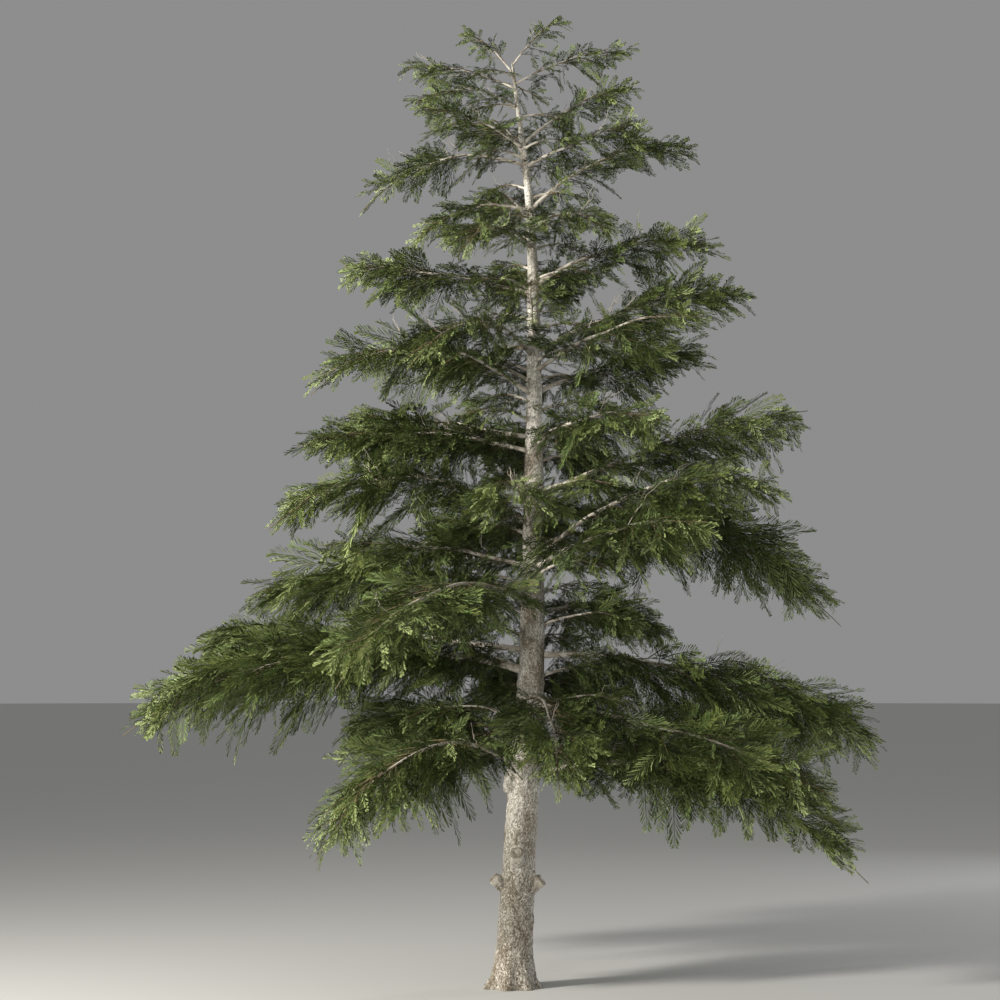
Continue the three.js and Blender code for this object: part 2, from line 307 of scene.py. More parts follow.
@dataclass(frozen=True)
class LimbBark:
    """Thin, smooth, dry bark of limbs.

    It gives the eye a pale grey-beige with a few browner stretches, and the olive brown of young
    shoots toward the tip.
    """

    pale: str = "#d4cec2"
    brown: str = "#9d9485"
    young: str = "#6a6046"
    patch_mm: float = 70.0
    detail: float = 4.0
    # Values of the patches at which they are brown and pale.
    patch_stops: tuple[float, ...] = (0.36, 0.58)
    roughness: float = 0.82
    specular: float = 0.25

    def material(self) -> bpy.types.Material:
        """Builds the shader: soft patches of the older colours, and the younger one at the tip.

        Returns:
            The material.
        """
        material, shader = new_material("Conifer_limb_bark", self.roughness, self.specular)
        tree = material.node_tree
        place = add_node(tree, "ShaderNodeTexCoord").outputs["Object"]
        patches = add_node(
            tree,
            "ShaderNodeTexNoise",
            {"Scale": per_metre(self.patch_mm), "Detail": self.detail},
            {"Vector": place},
        ).outputs["Fac"]
        older = add_node(
            tree,
            "ShaderNodeValToRGB",
            {"stops": tuple(zip(self.patch_stops, (self.brown, self.pale)))},
            {"Fac": patches},
        ).outputs["Color"]
        youth = add_node(tree, "ShaderNodeAttribute", {"attribute_name": LimbWood.YOUNG_ATTRIBUTE})
        colour = add_node(
            tree,
            "ShaderNodeMix",
            {"data_type": "RGBA", MixSocket.SECOND.value: linear(self.young)},
            {"Factor": youth.outputs["Fac"], MixSocket.FIRST.value: older},
        ).outputs[MixSocket.RESULT.value]
        tree.links.new(colour, shader.inputs["Base Color"])
        return material


@dataclass(frozen=True)
class PlainFinish:
    """One even colour, for pieces made of many small parts."""

    name: str
    colour: str
    roughness: float
    specular: float = 0.25

    def material(self) -> bpy.types.Material:
        """Builds the shader, with every value set on its own socket.

        Returns:
            The material.
        """
        material, shader = new_material(self.name, self.roughness, self.specular)
        shader.inputs["Base Color"].default_value = linear(self.colour)
        return material


# Living scale leaves have a thin coat of wax, which gives a broad, weak shine.
LEAF_ROUGHNESS = 0.6
LEAF_SPECULAR = 0.18


class LeafTint(Enum):
    """Colours of scale leaves, darkest deep inside the crown and palest at its edge. The dark ones
    are older leaves and also painted shade; the pale ones are new growth and also painted light.
    """

    DEEP = "#2f371b"
    SHADED = "#394322"
    GREEN = "#48572d"
    OLIVE = "#636c39"
    FRESH = "#6c7d4a"
    PALE = "#94a26a"

    def finish(self) -> PlainFinish:
        """The finish of leaves of this tint."""
        name = f"Scale_leaf_{self.name.lower()}"
        return PlainFinish(name, self.value, LEAF_ROUGHNESS, LEAF_SPECULAR)


class SprayTone(Enum):
    """A spray's tints: its older leaves and its leaf tips. The older tint is darker and the tip
    tint paler than age alone gives: the gap is partly painted shade among the leaflets and painted
    light on their tips, and partly new growth.
    """

    INNER = (LeafTint.DEEP, LeafTint.SHADED)
    COOL = (LeafTint.DEEP, LeafTint.GREEN)
    MIDDLE = (LeafTint.SHADED, LeafTint.FRESH)
    WARM = (LeafTint.GREEN, LeafTint.OLIVE)
    OUTER = (LeafTint.SHADED, LeafTint.PALE)
    NEW = (LeafTint.GREEN, LeafTint.PALE)


# Young bark has green under it, which gives a dull olive brown.
TWIG = PlainFinish("Green_twig_bark", "#75694e", 0.8)
# Dead twigs lose their bark and bleach, which gives a chalky grey.
DEAD_WOOD = PlainFinish("Weathered_dead_wood", "#b3aca0", 0.9)
# Matt paint gives an even, pale ground with soft shadows.
FLOOR = PlainFinish("Pale_studio_floor", "#cfcfcc", 0.9)


# Vectors


def unit(vectors: Array) -> Array:
    """The same directions at length 1."""
    return vectors / np.linalg.norm(vectors, axis=-1, keepdims=True)


def level_heading(degrees: float) -> Array:
    """The level direction at an angle about the vertical."""
    turn = math.radians(degrees)
    return np.array((math.cos(turn), math.sin(turn), 0.0))


def turned(vectors: Array, degrees: Array) -> Array:
    """Directions turned about the vertical.

    Args:
        vectors: one direction in each row.
        degrees: an angle for each row.

    Returns:
        The turned directions.
    """
    cosine, sine = np.cos(np.radians(degrees)), np.sin(np.radians(degrees))
    x = cosine * vectors[:, 0] - sine * vectors[:, 1]
    y = sine * vectors[:, 0] + cosine * vectors[:, 1]
    return np.column_stack((x, y, vectors[:, 2]))


# The tree's plan


@dataclass(frozen=True)
class TrunkLine:
    """The trunk's middle line and its plain taper."""

    height: float = 7.6
    foot_radius: float = 0.150
    tip_radius: float = 0.011
    lean: tuple[float, ...] = (0.0, 0.070, 0.155, 0.175, 0.182, 0.150, 0.0)

    def middle(self, heights: Array) -> Array:
        """Points on the middle line, which runs smoothly through equal steps of height.

        Args:
            heights: heights above the ground.

        Returns:
            One point in each row.
        """
        offsets = np.array(self.lean)
        first, last = 2 * offsets[0] - offsets[1], 2 * offsets[-1] - offsets[-2]
        slopes = np.gradient(np.concatenate(((first,), offsets, (last,))))[1:-1]
        step = np.clip(heights / self.height, 0, 1) * (len(offsets) - 1)
        below = np.minimum(step.astype(int), len(offsets) - 2)
        t = step - below
        x = (
            (1 + 2 * t) * (1 - t) ** 2 * offsets[below]
            + t * (1 - t) ** 2 * slopes[below]
            + t**2 * (3 - 2 * t) * offsets[below + 1]
            - t**2 * (1 - t) * slopes[below + 1]
        )
        return np.column_stack((x, np.zeros_like(x), heights))

    def radius(self, heights: Array | float) -> Array | float:
        """Radii without the root flare, at heights above the ground."""
        return self.foot_radius + (self.tip_radius - self.foot_radius) * heights / self.height


TRUNK_LINE = TrunkLine()


@dataclass(frozen=True)
class Limb:
    """One limb: it sets out at rise over reach, and has sunk by sag at its tip.

    Its fullness is how many side twigs it has for those that a limb of its reach usually has, and
    its hang is how far they droop in the same way.
    """

    name: str
    height: float
    angle: float
    reach: float
    rise: float
    sag: float
    fullness: float = 1.0
    hang: float = 1.0

    SAG_POWER = 2.2
    # Its sideways bend as a share of the reach, and how fast that changes with the limb's angle.
    SWAY = 0.03
    SWAY_TURN = 3.0
    # Small waves along it: their size as a share of the reach, how many radians of them there are
    # across and up, and how far the ones across move on with the limb's angle.
    CROOK = 0.006
    CROOK_ACROSS = 17.0
    CROOK_UP = 13.0
    CROOK_TURN = 5.0
    # Where it begins and how thick it may be there, as shares of the trunk's radius.
    FOOT = 0.7
    TO_TRUNK = 0.5
    BASE_RADIUS = 0.007
    RADIUS_PER_REACH = 0.0056
    TIP_RADIUS = 0.003
    COLLAR = 0.6
    COLLAR_LENGTH = 0.11

    @property
    def tier(self) -> str:
        """The name of the limb's tier."""
        return self.name.split("_")[0]

    @property
    def cluster(self) -> str:
        """The name of the limb's tier and of the half of the crown that it is in."""
        half = "left" if math.cos(math.radians(self.angle)) < 0 else "right"
        return f"{self.tier}_{half}"

    @property
    def trunk_radius(self) -> float:
        """The trunk's radius where the limb leaves it."""
        return TRUNK_LINE.radius(self.height)

    @property
    def foot(self) -> float:
        """Share of the limb that lies inside the trunk."""
        return self.FOOT * self.trunk_radius / self.reach

    def points(self, shares: Array) -> Array:
        """Points on the limb.

        Args:
            shares: shares of the reach, from the middle of the trunk to the tip.

        Returns:
            One point in each row.
        """
        turn = math.radians(self.angle)
        out = level_heading(self.angle)
        bow = np.sin(math.pi * shares)
        sway = self.SWAY * math.sin(self.SWAY_TURN * turn + self.height)
        crook = self.CROOK * np.sin(self.CROOK_ACROSS * shares + self.CROOK_TURN * turn) * bow
        across = self.reach * (sway * bow + crook)
        up = self.rise * shares - self.sag * np.maximum(shares, 0) ** self.SAG_POWER
        up = up + self.reach * self.CROOK * np.sin(self.CROOK_UP * shares + turn) * bow
        start = TRUNK_LINE.middle(np.array((self.height,)))
        along = self.reach * shares[:, None] * out
        return start + along + across[:, None] * np.cross(out, UP) + up[:, None] * UP

    def headings(self, shares: Array) -> Array:
        """Directions of the limb at shares of its reach."""
        step = 0.01
        return unit(self.points(shares + step) - self.points(shares - step))

    def radii(self, shares: Array) -> Array:
        """Radii of the limb, with the collar at the trunk.

        Args:
            shares: shares of the reach.

        Returns:
            One radius for each.
        """
        thickest = self.TO_TRUNK * self.trunk_radius
        base = min(self.BASE_RADIUS + self.RADIUS_PER_REACH * self.reach, thickest)
        collar = 1 + self.COLLAR * np.exp(-shares * self.reach / self.COLLAR_LENGTH)
        return (base + (self.TIP_RADIUS - base) * shares) * collar


# Name, height, angle, reach, rise and sag, then fullness and hang where they differ from 1.
LIMBS = (
    Limb("tier1_right", 1.67, 342, 2.80, 0.92, 1.68, 1.0, 0.4),
    Limb("tier1_front_left", 1.75, 214, 1.96, 1.15, 1.81, 1.7, 1.7),
    Limb("tier1_back_left", 1.95, 135, 2.18, 0.80, 0.70, 1.7, 1.5),
    Limb("tier1_back_right", 1.79, 55, 2.03, 0.59, 0.78, 1.0, 0.6),
    Limb("tier1_front", 2.34, 278, 1.50, 0.10, 0.85, 1.5),
    Limb("tier2_right", 2.68, 8, 2.98, 0.06, 0.78, 1.15),
    Limb("tier2_front_right", 2.28, 328, 2.73, -0.15, 0.54, 1.0, 0.6),
    Limb("tier2_left", 2.54, 176, 3.37, 1.0, 1.52, 1.1, 0.6),
    Limb("tier2_back", 2.40, 86, 2.21, 0.50, 0.65, 1.3),
    Limb("tier2_back_left", 2.71, 156, 3.10, 0.50, 0.42),
    Limb("tier3_front_left", 3.09, 232, 2.41, 0.84, 1.51),
    Limb("tier3_back_left", 3.21, 148, 2.90, 0.62, 0.62, 0.85),
    Limb("tier3_back_right", 2.97, 42, 1.51, 0.60, 0.77, 1.7),
    Limb("tier4_left", 3.40, 190, 1.76, 0.45, 0.29),
    Limb("tier4_front_right", 3.38, 308, 2.10, 0.74, 0.45),
    Limb("tier4_right", 3.44, 340, 2.11, 1.75, 1.25),
    Limb("tier4_back_right", 3.77, 28, 3.07, 0.70, 1.53, 1.0, 0.7),
    Limb("tier4_front", 3.59, 258, 1.40, 0.94, 0.54),
    Limb("tier4_front_left", 3.74, 197, 2.21, 1.40, 1.47),
    Limb("tier4_back", 3.62, 105, 2.20, 0.60, 0.55, 1.2),
    Limb("tier5_left", 4.34, 182, 1.94, 0.55, 0.51, 1.3),
    Limb("tier5_back_left", 4.46, 150, 1.86, 0.40, 0.11, 1.3),
    Limb("tier5_right", 3.95, 4, 2.28, 1.17, 0.42),
    Limb("tier5_front_right", 4.40, 310, 1.50, 0.55, 0.45),
    Limb("tier5_back", 4.20, 85, 2.00, 0.80, 0.40),
    Limb("tier6_front_left", 4.80, 204, 1.94, 1.35, 1.42, 0.8, 0.6),
    Limb("tier6_right", 5.15, 6, 1.82, 1.13, 0.62, 1.15, 0.4),
    Limb("tier6_front_right", 5.00, 318, 1.75, 0.82, 0.53, 0.6, 0.5),
    Limb("tier6_back_right", 4.82, 42, 1.90, 0.85, 0.37, 0.9, 0.5),
    Limb("tier6_back_left", 4.90, 125, 1.50, 0.80, 0.53),
    Limb("tier7_left", 5.65, 178, 1.57, 0.45, 0.21, 1.1, 0.8),
    Limb("tier7_front_left", 5.12, 228, 1.51, 0.97, 1.22),
    Limb("tier7_right", 5.71, 352, 1.54, 1.03, 0.81, 1.0, 0.4),
    Limb("tier7_front", 5.31, 268, 0.90, 0.60, 0.29),
    Limb("tier7_back", 5.60, 88, 1.20, 0.70, 0.23, 1.3),
    Limb("tier8_left", 6.34, 192, 0.96, 0.25, 0.54),
    Limb("tier8_right", 6.35, 8, 1.37, 1.30, 0.82, 1.0, 0.7),
    Limb("tier8_front_left", 6.03, 240, 1.19, 0.45, 0.66),
    Limb("tier8_front_right", 6.19, 312, 0.90, 0.39, 0.55),
    Limb("tier8_back", 6.23, 105, 1.00, 0.70, 0.26, 1.2),
    Limb("tier9_left", 6.72, 180, 1.36, 0.48, 0.87, 0.7, 0.6),
    Limb("tier9_right", 6.71, 340, 0.99, 0.47, 0.17, 1.0, 0.7),
    Limb("tier9_back_right", 6.90, 26, 1.04, 0.94, 0.36, 1.0, 0.6),
    Limb("tier9_front_left", 6.87, 212, 0.98, 0.47, 0.27, 1.0, 0.6),
    Limb("tier9_back", 6.81, 110, 0.80, 0.65, 0.18, 1.2),
    Limb("tier10_left", 7.37, 168, 0.94, 0.46, 0.24, 0.7, 0.6),
    Limb("tier10_right", 7.40, 10, 0.96, 0.59, 0.28, 0.8, 0.6),
    Limb("tier10_front_left", 7.21, 198, 0.90, 0.44, 0.49, 0.7, 0.6),
    Limb("tier11_left", 7.49, 185, 0.35, 0.45, 0.13, 1.4, 0.6),
    Limb("tier11_right", 7.56, 352, 0.38, 0.51, 0.13, 1.4, 0.6),
)


@dataclass(frozen=True)
class InnerLimbs:
    """Short limbs between the tiers, each turned by the same angle from the one below."""

    count: int = 68
    lowest: float = 1.78
    highest: float = 7.45
    longest: float = 1.05
    shortest: float = 0.32
    turn: float = 137.5
    rise: float = 0.5
    sag: float = 0.45
    fullness: float = 0.9
    # The trunk's front shows through a gap in the crown.
    gap_angle: float = 262.0
    gap_width: float = 40.0

    def limbs(self) -> tuple[Limb, ...]:
        """Works out the limbs, each named after the tier whose limbs are nearest.

        Returns:
            The limbs, from the lowest up.
        """
        made = []
        for i, share in enumerate(np.linspace(0, 1, self.count)):
            angle = (self.turn * i) % 360
            if abs(angle - self.gap_angle) < self.gap_width:
                continue
            height = self.lowest + (self.highest - self.lowest) * share
            reach = self.longest + (self.shortest - self.longest) * share
            nearest = min(LIMBS, key=lambda limb: abs(limb.height - height))
            name = f"{nearest.tier}_inner_{i}"
            rise, sag = self.rise * reach, self.sag * reach
            made.append(Limb(name, height, angle, reach, rise, sag, self.fullness))
        return tuple(made)


ALL_LIMBS = LIMBS + InnerLimbs().limbs()


@dataclass
class Shoots:
    """Many shoots, each of which sets out straight and hangs lower toward its end.

    Attributes:
        start: where each begins.
        along: the direction in which it sets out.
        across: the direction across its flat side.
        length: its length.
        droop: how far its end hangs, as a share of its length.
        outer: 0 inside the crown to 1 at its edge.
    """

    start: Array
    along: Array
    across: Array
    length: Array
    droop: Array
    outer: Array

    def points(self, owner: Array, share: Array) -> Array:
        """Points on the shoots.

        Args:
            owner: which shoot each point is on.
            share: its place along that shoot.

        Returns:
            One point in each row.
        """
        reach = self.length[owner] * share
        fall = self.droop[owner] * reach * share
        return self.start[owner] + reach[:, None] * self.along[owner] - fall[:, None] * UP

    def headings(self, owner: Array, share: Array) -> Array:
        """Directions of the shoots, with the arguments of points."""
        fall = 2 * self.droop[owner] * share
        return unit(self.along[owner] - fall[:, None] * UP)

    def branch(
        self,
        owner: Array,
        share: Array,
        turn: Array,
        roll: Array,
        length: Array,
        droop: Array,
        outer: Array,
    ) -> "Shoots":
        """Grows a side shoot at each place.

        Args:
            owner: the shoot that each leaves.
            share: its place along that shoot.
            turn: degrees toward the shoot's flat side, either way.
            roll: degrees about its own length.
            length: its length.
            droop: its droop.
            outer: its place in the crown.

        Returns:
            The side shoots.
        """
        heading = self.headings(owner, share)
        slant = np.sum(self.across[owner] * heading, axis=1, keepdims=True)
        across = unit(self.across[owner] - slant * heading)
        cosine, sine = np.cos(np.radians(turn))[:, None], np.sin(np.radians(turn))[:, None]
        along = cosine * heading + sine * across
        flat = cosine * across - sine * heading
        over = np.cross(along, flat)
        rolled = np.radians(roll)[:, None]
        across = np.cos(rolled) * flat + np.sin(rolled) * over
        return Shoots(self.points(owner, share), along, across, length, droop, outer)

    def kept(self, chosen: Array) -> "Shoots":
        """Only the chosen shoots."""
        fields = (self.start, self.along, self.across, self.length, self.droop, self.outer)
        return Shoots(*(values[chosen] for values in fields))


def joined(groups: Sequence[Shoots]) -> Shoots:
    """All the shoots of several groups as one."""
    names = Shoots.__dataclass_fields__
    return Shoots(*(np.concatenate([getattr(g, n) for g in groups]) for n in names))


# Meshes


@dataclass
class MeshParts:
    """Vertices and triangles that are gathered before they become one piece.

    Attributes:
        places: groups of vertices.
        faces: groups of triangles, numbered over all the vertices so far.
        finishes: for each triangle, which of the piece's materials it takes.
        count: how many vertices there are so far.
    """

    places: list[Array] = field(default_factory=list)
    faces: list[Array] = field(default_factory=list)
    finishes: list[Array] = field(default_factory=list)
    count: int = 0

    def add(self, places: Array, faces: Array, finishes: Array | None = None) -> None:
        """Adds vertices with their triangles.

        Args:
            places: one vertex in each row.
            faces: three vertex numbers in each row, counted within places.
            finishes: a material number for each triangle, or none for the first.
        """
        self.places.append(places)
        self.faces.append(faces + self.count)
        self.finishes.append(np.zeros(len(faces), int) if finishes is None else finishes)
        self.count += len(places)

    def piece(self, name: str, materials: Sequence[bpy.types.Material], smooth: bool) -> Piece:
        """Makes one object of everything added.

        Args:
            name: the object's name.
            materials: the materials that the triangles number.
            smooth: whether its faces are shaded smooth.

        Returns:
            The object, at the origin.
        """
        places = np.concatenate(self.places)
        faces = np.concatenate(self.faces)
        mesh = bpy.data.meshes.new(name)
        mesh.vertices.add(len(places))
        mesh.vertices.foreach_set("co", places.astype(np.float32).ravel())
        mesh.loops.add(faces.size)
        mesh.loops.foreach_set("vertex_index", faces.astype(np.int32).ravel())
        mesh.polygons.add(len(faces))
        mesh.polygons.foreach_set("loop_start", np.arange(0, faces.size, 3, dtype=np.int32))
        finishes = np.concatenate(self.finishes).astype(np.int32)
        mesh.polygons.foreach_set("material_index", finishes)
        mesh.polygons.foreach_set("use_smooth", np.full(len(faces), smooth))
        for material in materials:
            mesh.materials.append(material)
        mesh.update(calc_edges=True)
        piece = bpy.data.objects.new(name, mesh)
        bpy.context.scene.collection.objects.link(piece)
        return piece


# A tube's sides are worked out from a line that is slightly off the vertical, so that an upright
# tube has them too.
NEARLY_UP = UP + 1e-3


def add_tubes(parts: MeshParts, paths: Array, radii: Array, sides: int) -> None:
    """Adds round tubes that are closed at both ends.

    Args:
        parts: what they are added to.
        paths: points by tube, by place along it, by coordinate.
        radii: a radius for each point, or for each corner round it.
        sides: corners round each tube.
    """
    tubes, rings, _ = paths.shape
    heading = unit(np.gradient(paths, axis=1))
    right = unit(np.cross(heading, NEARLY_UP))
    over = np.cross(right, heading)
    turn = np.arange(sides) * 2 * math.pi / sides
    spokes = (
        np.cos(turn)[:, None] * right[:, :, None, :] + np.sin(turn)[:, None] * over[:, :, None, :]
    )
    if radii.ndim == 2:
        radii = radii[:, :, None]
    rim = paths[:, :, None, :] + radii[..., None] * spokes
    places = np.concatenate((rim.reshape(tubes, -1, 3), paths[:, :1], paths[:, -1:]), axis=1)
    ring, corner = np.meshgrid(np.arange(rings - 1), np.arange(sides), indexing="ij")
    a = (ring * sides + corner).ravel()
    b = (ring * sides + (corner + 1) % sides).ravel()
    wall = np.concatenate((np.stack((a, a + sides, b), 1), np.stack((b, a + sides, b + sides), 1)))
    here, there = np.arange(sides), (np.arange(sides) + 1) % sides
    last = (rings - 1) * sides
    foot = np.stack((here, there, np.full(sides, rings * sides)), 1)
    end = np.stack((last + there, last + here, np.full(sides, rings * sides + 1)), 1)
    one = np.concatenate((wall, foot, end))
    faces = one[None] + (np.arange(tubes) * places.shape[1])[:, None, None]
    parts.add(places.reshape(-1, 3), faces.reshape(-1, 3))


def settle(piece: Piece, nodes: Sequence[str] = ()) -> None:
    """Puts a finished piece on the tree and reports it.

    Args:
        piece: the piece.
        nodes: the solids that it stands for.
    """
    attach(piece, BODY)
    if nodes:
        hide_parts(*nodes)
    log.info("%s: %d faces", piece.name, len(piece.data.polygons))


def limb_nodes(ending: str, limbs: Sequence[Limb] = LIMBS) -> list[str]:
    """Names of the solids of these limbs that end with the given word."""
    wanted = {f"{limb.name}_{ending}" for limb in limbs}
    return sorted(wanted & set(frame["nodes"]))


# Modelling in edit mode


class Domain(Enum):
    """What a selection in edit mode is made of."""

    VERTICES = "VERT"
    FACES = "FACE"


def deselect_all() -> None:
    """Clears the selection, so that the next operator acts on one object only."""
    for thing in bpy.context.view_layer.objects:
        thing.select_set(False)
    bpy.context.view_layer.objects.active = None


def vertex_places(piece: Piece) -> Array:
    """Reads the places of a mesh's vertices.

    Args:
        piece: the object.

    Returns:
        One place in each row.
    """
    flat = np.empty(3 * len(piece.data.vertices))
    piece.data.vertices.foreach_get("co", flat)
    return flat.reshape(-1, 3)


def choose(piece: Piece, domain: Domain, chosen: Array) -> None:
    """Enters edit mode with exactly these parts selected.

    Args:
        piece: the active object.
        domain: vertices or faces.
        chosen: for each of them, whether it is selected.
    """
    bpy.ops.object.mode_set(mode="EDIT")
    bpy.ops.mesh.select_mode(type=domain.value)
    bpy.ops.mesh.select_all(action="DESELECT")
    bpy.ops.object.mode_set(mode="OBJECT")
    mesh = piece.data
    parts = mesh.vertices if domain is Domain.VERTICES else mesh.polygons
    parts.foreach_set("select", chosen)
    bpy.ops.object.mode_set(mode="EDIT")


def extruded_tube(
    name: str, sides: int, middles: Array, radii: Array, turn: tuple[float, float, float]
) -> Piece:
    """Extrudes a filled circle from point to point, with its own radius at each.

    Args:
        name: the new object's name.
        sides: corners of the circle.
        middles: one point in each row.
        radii: the radius at each point.
        turn: the circle's turn about each axis.

    Returns:
        The closed tube, which is the active and only selected object.
    """
    deselect_all()
    bpy.ops.mesh.primitive_circle_add(
        vertices=sides, radius=radii[0], fill_type="NGON", location=tuple(middles[0]), rotation=turn
    )
    piece = bpy.context.object
    piece.name = piece.data.name = name
    bpy.ops.object.transform_apply()
    bpy.ops.object.mode_set(mode="EDIT")
    bpy.ops.mesh.select_all(action="SELECT")
    for i in range(1, len(radii)):
        step = tuple(middles[i] - middles[i - 1])
        bpy.ops.mesh.extrude_region_move(TRANSFORM_OT_translate={"value": step})
        factor = radii[i] / radii[i - 1]
        bpy.ops.transform.resize(value=(factor,) * 3, center_override=tuple(middles[i]))
    bpy.ops.mesh.select_all(action="SELECT")
    bpy.ops.mesh.normals_make_consistent(inside=False)
    bpy.ops.object.mode_set(mode="OBJECT")
    return piece


def store(piece: Piece, name: str, values: Array) -> None:
    """Stores a number for each vertex of a piece under a name that a material can read."""
    piece.data.attributes.new(name, "FLOAT", "POINT").data.foreach_set("value", values)


# Sub-assemblies


@dataclass(frozen=True)
class Stub:
    """A place on the trunk: its height on the middle line, and the angle at which it points out."""

    height: float
    angle: float

    @property
    def out(self) -> Array:
        """The level direction out of the trunk."""
        return level_heading(self.angle)

    @property
    def middle(self) -> Array:
        """The point on the trunk's middle line."""
        return TRUNK_LINE.middle(np.array((self.height,)))[0]


@dataclass
class Trunk:
    """The trunk: an extruded cage with flutes, stubs and a burl, subdivided and given relief."""

    sides: int = 14
    rings: int = 63
    # How evenly the rings are spaced, from 0, much closer at the foot, to 1.
    even_rings: float = 0.35
    flare_width: float = 0.074
    flare_height: float = 0.105
    # Flutes are this deep for the flare, and end where it is thinner than the least one.
    flute_depth: float = 0.9
    least_flare: float = 0.002
    smoothing: int = 3
    stubs: tuple[Stub, ...] = (Stub(0.735, 186), Stub(0.715, 352), Stub(0.945, 265))
    stub_sides: int = 12
    stub_climb: float = 0.75
    # Distance along the stub and radius there, from inside the trunk to the rounded end.
    stub_rings: tuple[tuple[float, float], ...] = (
        (0.06, 0.068),
        (0.13, 0.064),
        (0.175, 0.056),
        (0.205, 0.053),
        (0.228, 0.054),
        (0.247, 0.050),
        (0.258, 0.041),
        (0.259, 0.030),
        (0.254, 0.014),
    )
    # What is this near a stub's middle, for its first radius, belongs to it.
    stub_room: float = 1.3
    # Bare wood begins to show on a stub's side over this stretch, up to this share.
    stub_side: Span = (0.18, 0.22)
    stub_side_share: float = 0.6
    # Where the end begins, and dark rings on it by distance from its middle: one inside the end,
    # and one at its edge that is partly the bark and partly a painted shadow round the end.
    stub_end: float = 0.243
    stub_ring: tuple[tuple[float, ...], ...] = ((0.018, 0.026, 0.034, 0.041), (0.0, 0.6, 0.1, 0.65))
    burl: Stub = Stub(1.62, 205)
    burl_out: float = 0.055
    # The burl's two steps: shares of the way out, and how each one's end is scaled.
    burl_steps: tuple[tuple[float, float], ...] = ((0.55, 1.0), (0.45, 0.7))
    # Name, pattern, size and depth of what is carved into the surface.
    carvings: tuple[tuple[str, str, float, float], ...] = (
        ("lumps", "CLOUDS", 0.22, 0.022),
        ("plates", "MUSGRAVE", 0.050, 0.007),
        ("flakes", "STUCCI", 0.020, 0.008),
    )
    # They are drawn out along the trunk, and where it is thin keep at least this share of depth.
    grain: tuple[float, float, float] = (1.0, 1.0, 2.2)
    least_relief: float = 0.05
    # What the relief leaves below this height is pressed flat on the ground.
    level_below: float = 0.004
    # A mark round a limb's foot: its size, the part of it that doesn't shrink with the trunk, and
    # how distances count in it, less to the sides than up and down.
    mark_size: float = 0.045
    mark_constant: float = 0.5
    mark_weights: tuple[float, float, float] = (0.6, 0.6, 1.0)
    # Places on the cage that are nearer than this are at the same height.
    same: float = 1e-4

    MARK_ATTRIBUTE = "limb_mark"
    CUT_ATTRIBUTE = "cut_wood"
    RIM_ATTRIBUTE = "stub_rim"

    def build(self) -> Piece:
        """Models the trunk.

        Returns:
            The trunk, with its relief applied.
        """
        stubs = [self.stub_tube(stub) for stub in self.stubs]
        piece = self.cage()
        self.extrude_burl(piece)
        for stub in stubs:
            stub.select_set(True)
        bpy.ops.object.join()
        self.smooth(piece)
        self.carve_bark(piece)
        self.mark_limbs(piece)
        self.mark_cuts(piece)
        return piece

    def dress(self, piece: Piece) -> None:
        """Gives the trunk its bark and its place."""
        piece.data.materials.append(TrunkBark().material())
        settle(piece, ["trunk"])

    def ring_heights(self) -> Array:
        """Heights of the cage's rings, closer together near the ground."""
        t = np.linspace(0, 1, self.rings)
        return TRUNK_LINE.height * (self.even_rings * t + (1 - self.even_rings) * t**2)

    def aim(self, stub: Stub) -> Array:
        """The direction in which a stub climbs out of the trunk."""
        return unit(stub.out + self.stub_climb * UP)

    def stub_tube(self, stub: Stub) -> Piece:
        """Extrudes a limb's stub from inside the trunk to its weathered cut end.

        Args:
            stub: its place.

        Returns:
            The stub's cage.
        """
        along, radii = np.array(self.stub_rings).T
        aim = self.aim(stub)
        turn = (0.0, math.acos(aim[2]), math.radians(stub.angle))
        middles = stub.middle + along[:, None] * aim
        return extruded_tube("stub", self.stub_sides, middles, radii, turn)

    def cage(self) -> Piece:
        """Extrudes a ring of corners up the trunk's line, then draws the flutes out of its foot.

        Returns:
            The cage.
        """
        heights = self.ring_heights()
        flare = self.flare_width * np.exp(-heights / self.flare_height)
        # A smoothed cage of few sides draws in, so it starts wider.
        shrink = (2 + math.cos(2 * math.pi / self.sides)) / 3
        radii = (TRUNK_LINE.radius(heights) + flare) / shrink
        middles = TRUNK_LINE.middle(heights)
        # A new circle has its first corner at the back, and the first ridge is at the right.
        turn = (0.0, 0.0, -math.pi / 2)
        piece = extruded_tube("trunk_bark", self.sides, middles, radii, turn)
        places = vertex_places(piece)
        for i in np.flatnonzero(flare > self.least_flare):
            on_ring = np.abs(places[:, 2] - heights[i]) < self.same
            beside = places - middles[i]
            around = np.arctan2(beside[:, 1], beside[:, 0])
            corner = np.round(around * self.sides / (2 * math.pi)).astype(int)
            depth = self.flute_depth * flare[i] / radii[i]
            for is_ridge, factor in ((True, 1 + depth), (False, 1 - depth)):
                choose(piece, Domain.VERTICES, on_ring & ((corner % 2 == 0) == is_ridge))
                bpy.ops.transform.resize(
                    value=(factor, factor, 1), center_override=tuple(middles[i])
                )
                bpy.ops.object.mode_set(mode="OBJECT")
        return piece

    def extrude_burl(self, piece: Piece) -> None:
        """Draws a rounded burl out of the four faces round the nearest corner of the cage.

        Args:
            piece: the cage.
        """
        out = self.burl.out
        spot = self.burl.middle + TRUNK_LINE.radius(self.burl.height) * out
        places = vertex_places(piece)
        corner = np.argmin(np.linalg.norm(places - spot, axis=1))
        choose(piece, Domain.FACES, np.array([corner in f.vertices for f in piece.data.polygons]))
        middle = places[corner]
        for share, factor in self.burl_steps:
            step = share * self.burl_out * out
            bpy.ops.mesh.extrude_region_move(TRANSFORM_OT_translate={"value": tuple(step)})
            middle = middle + step
            bpy.ops.transform.resize(value=(factor,) * 3, center_override=tuple(middle))
        bpy.ops.object.mode_set(mode="OBJECT")

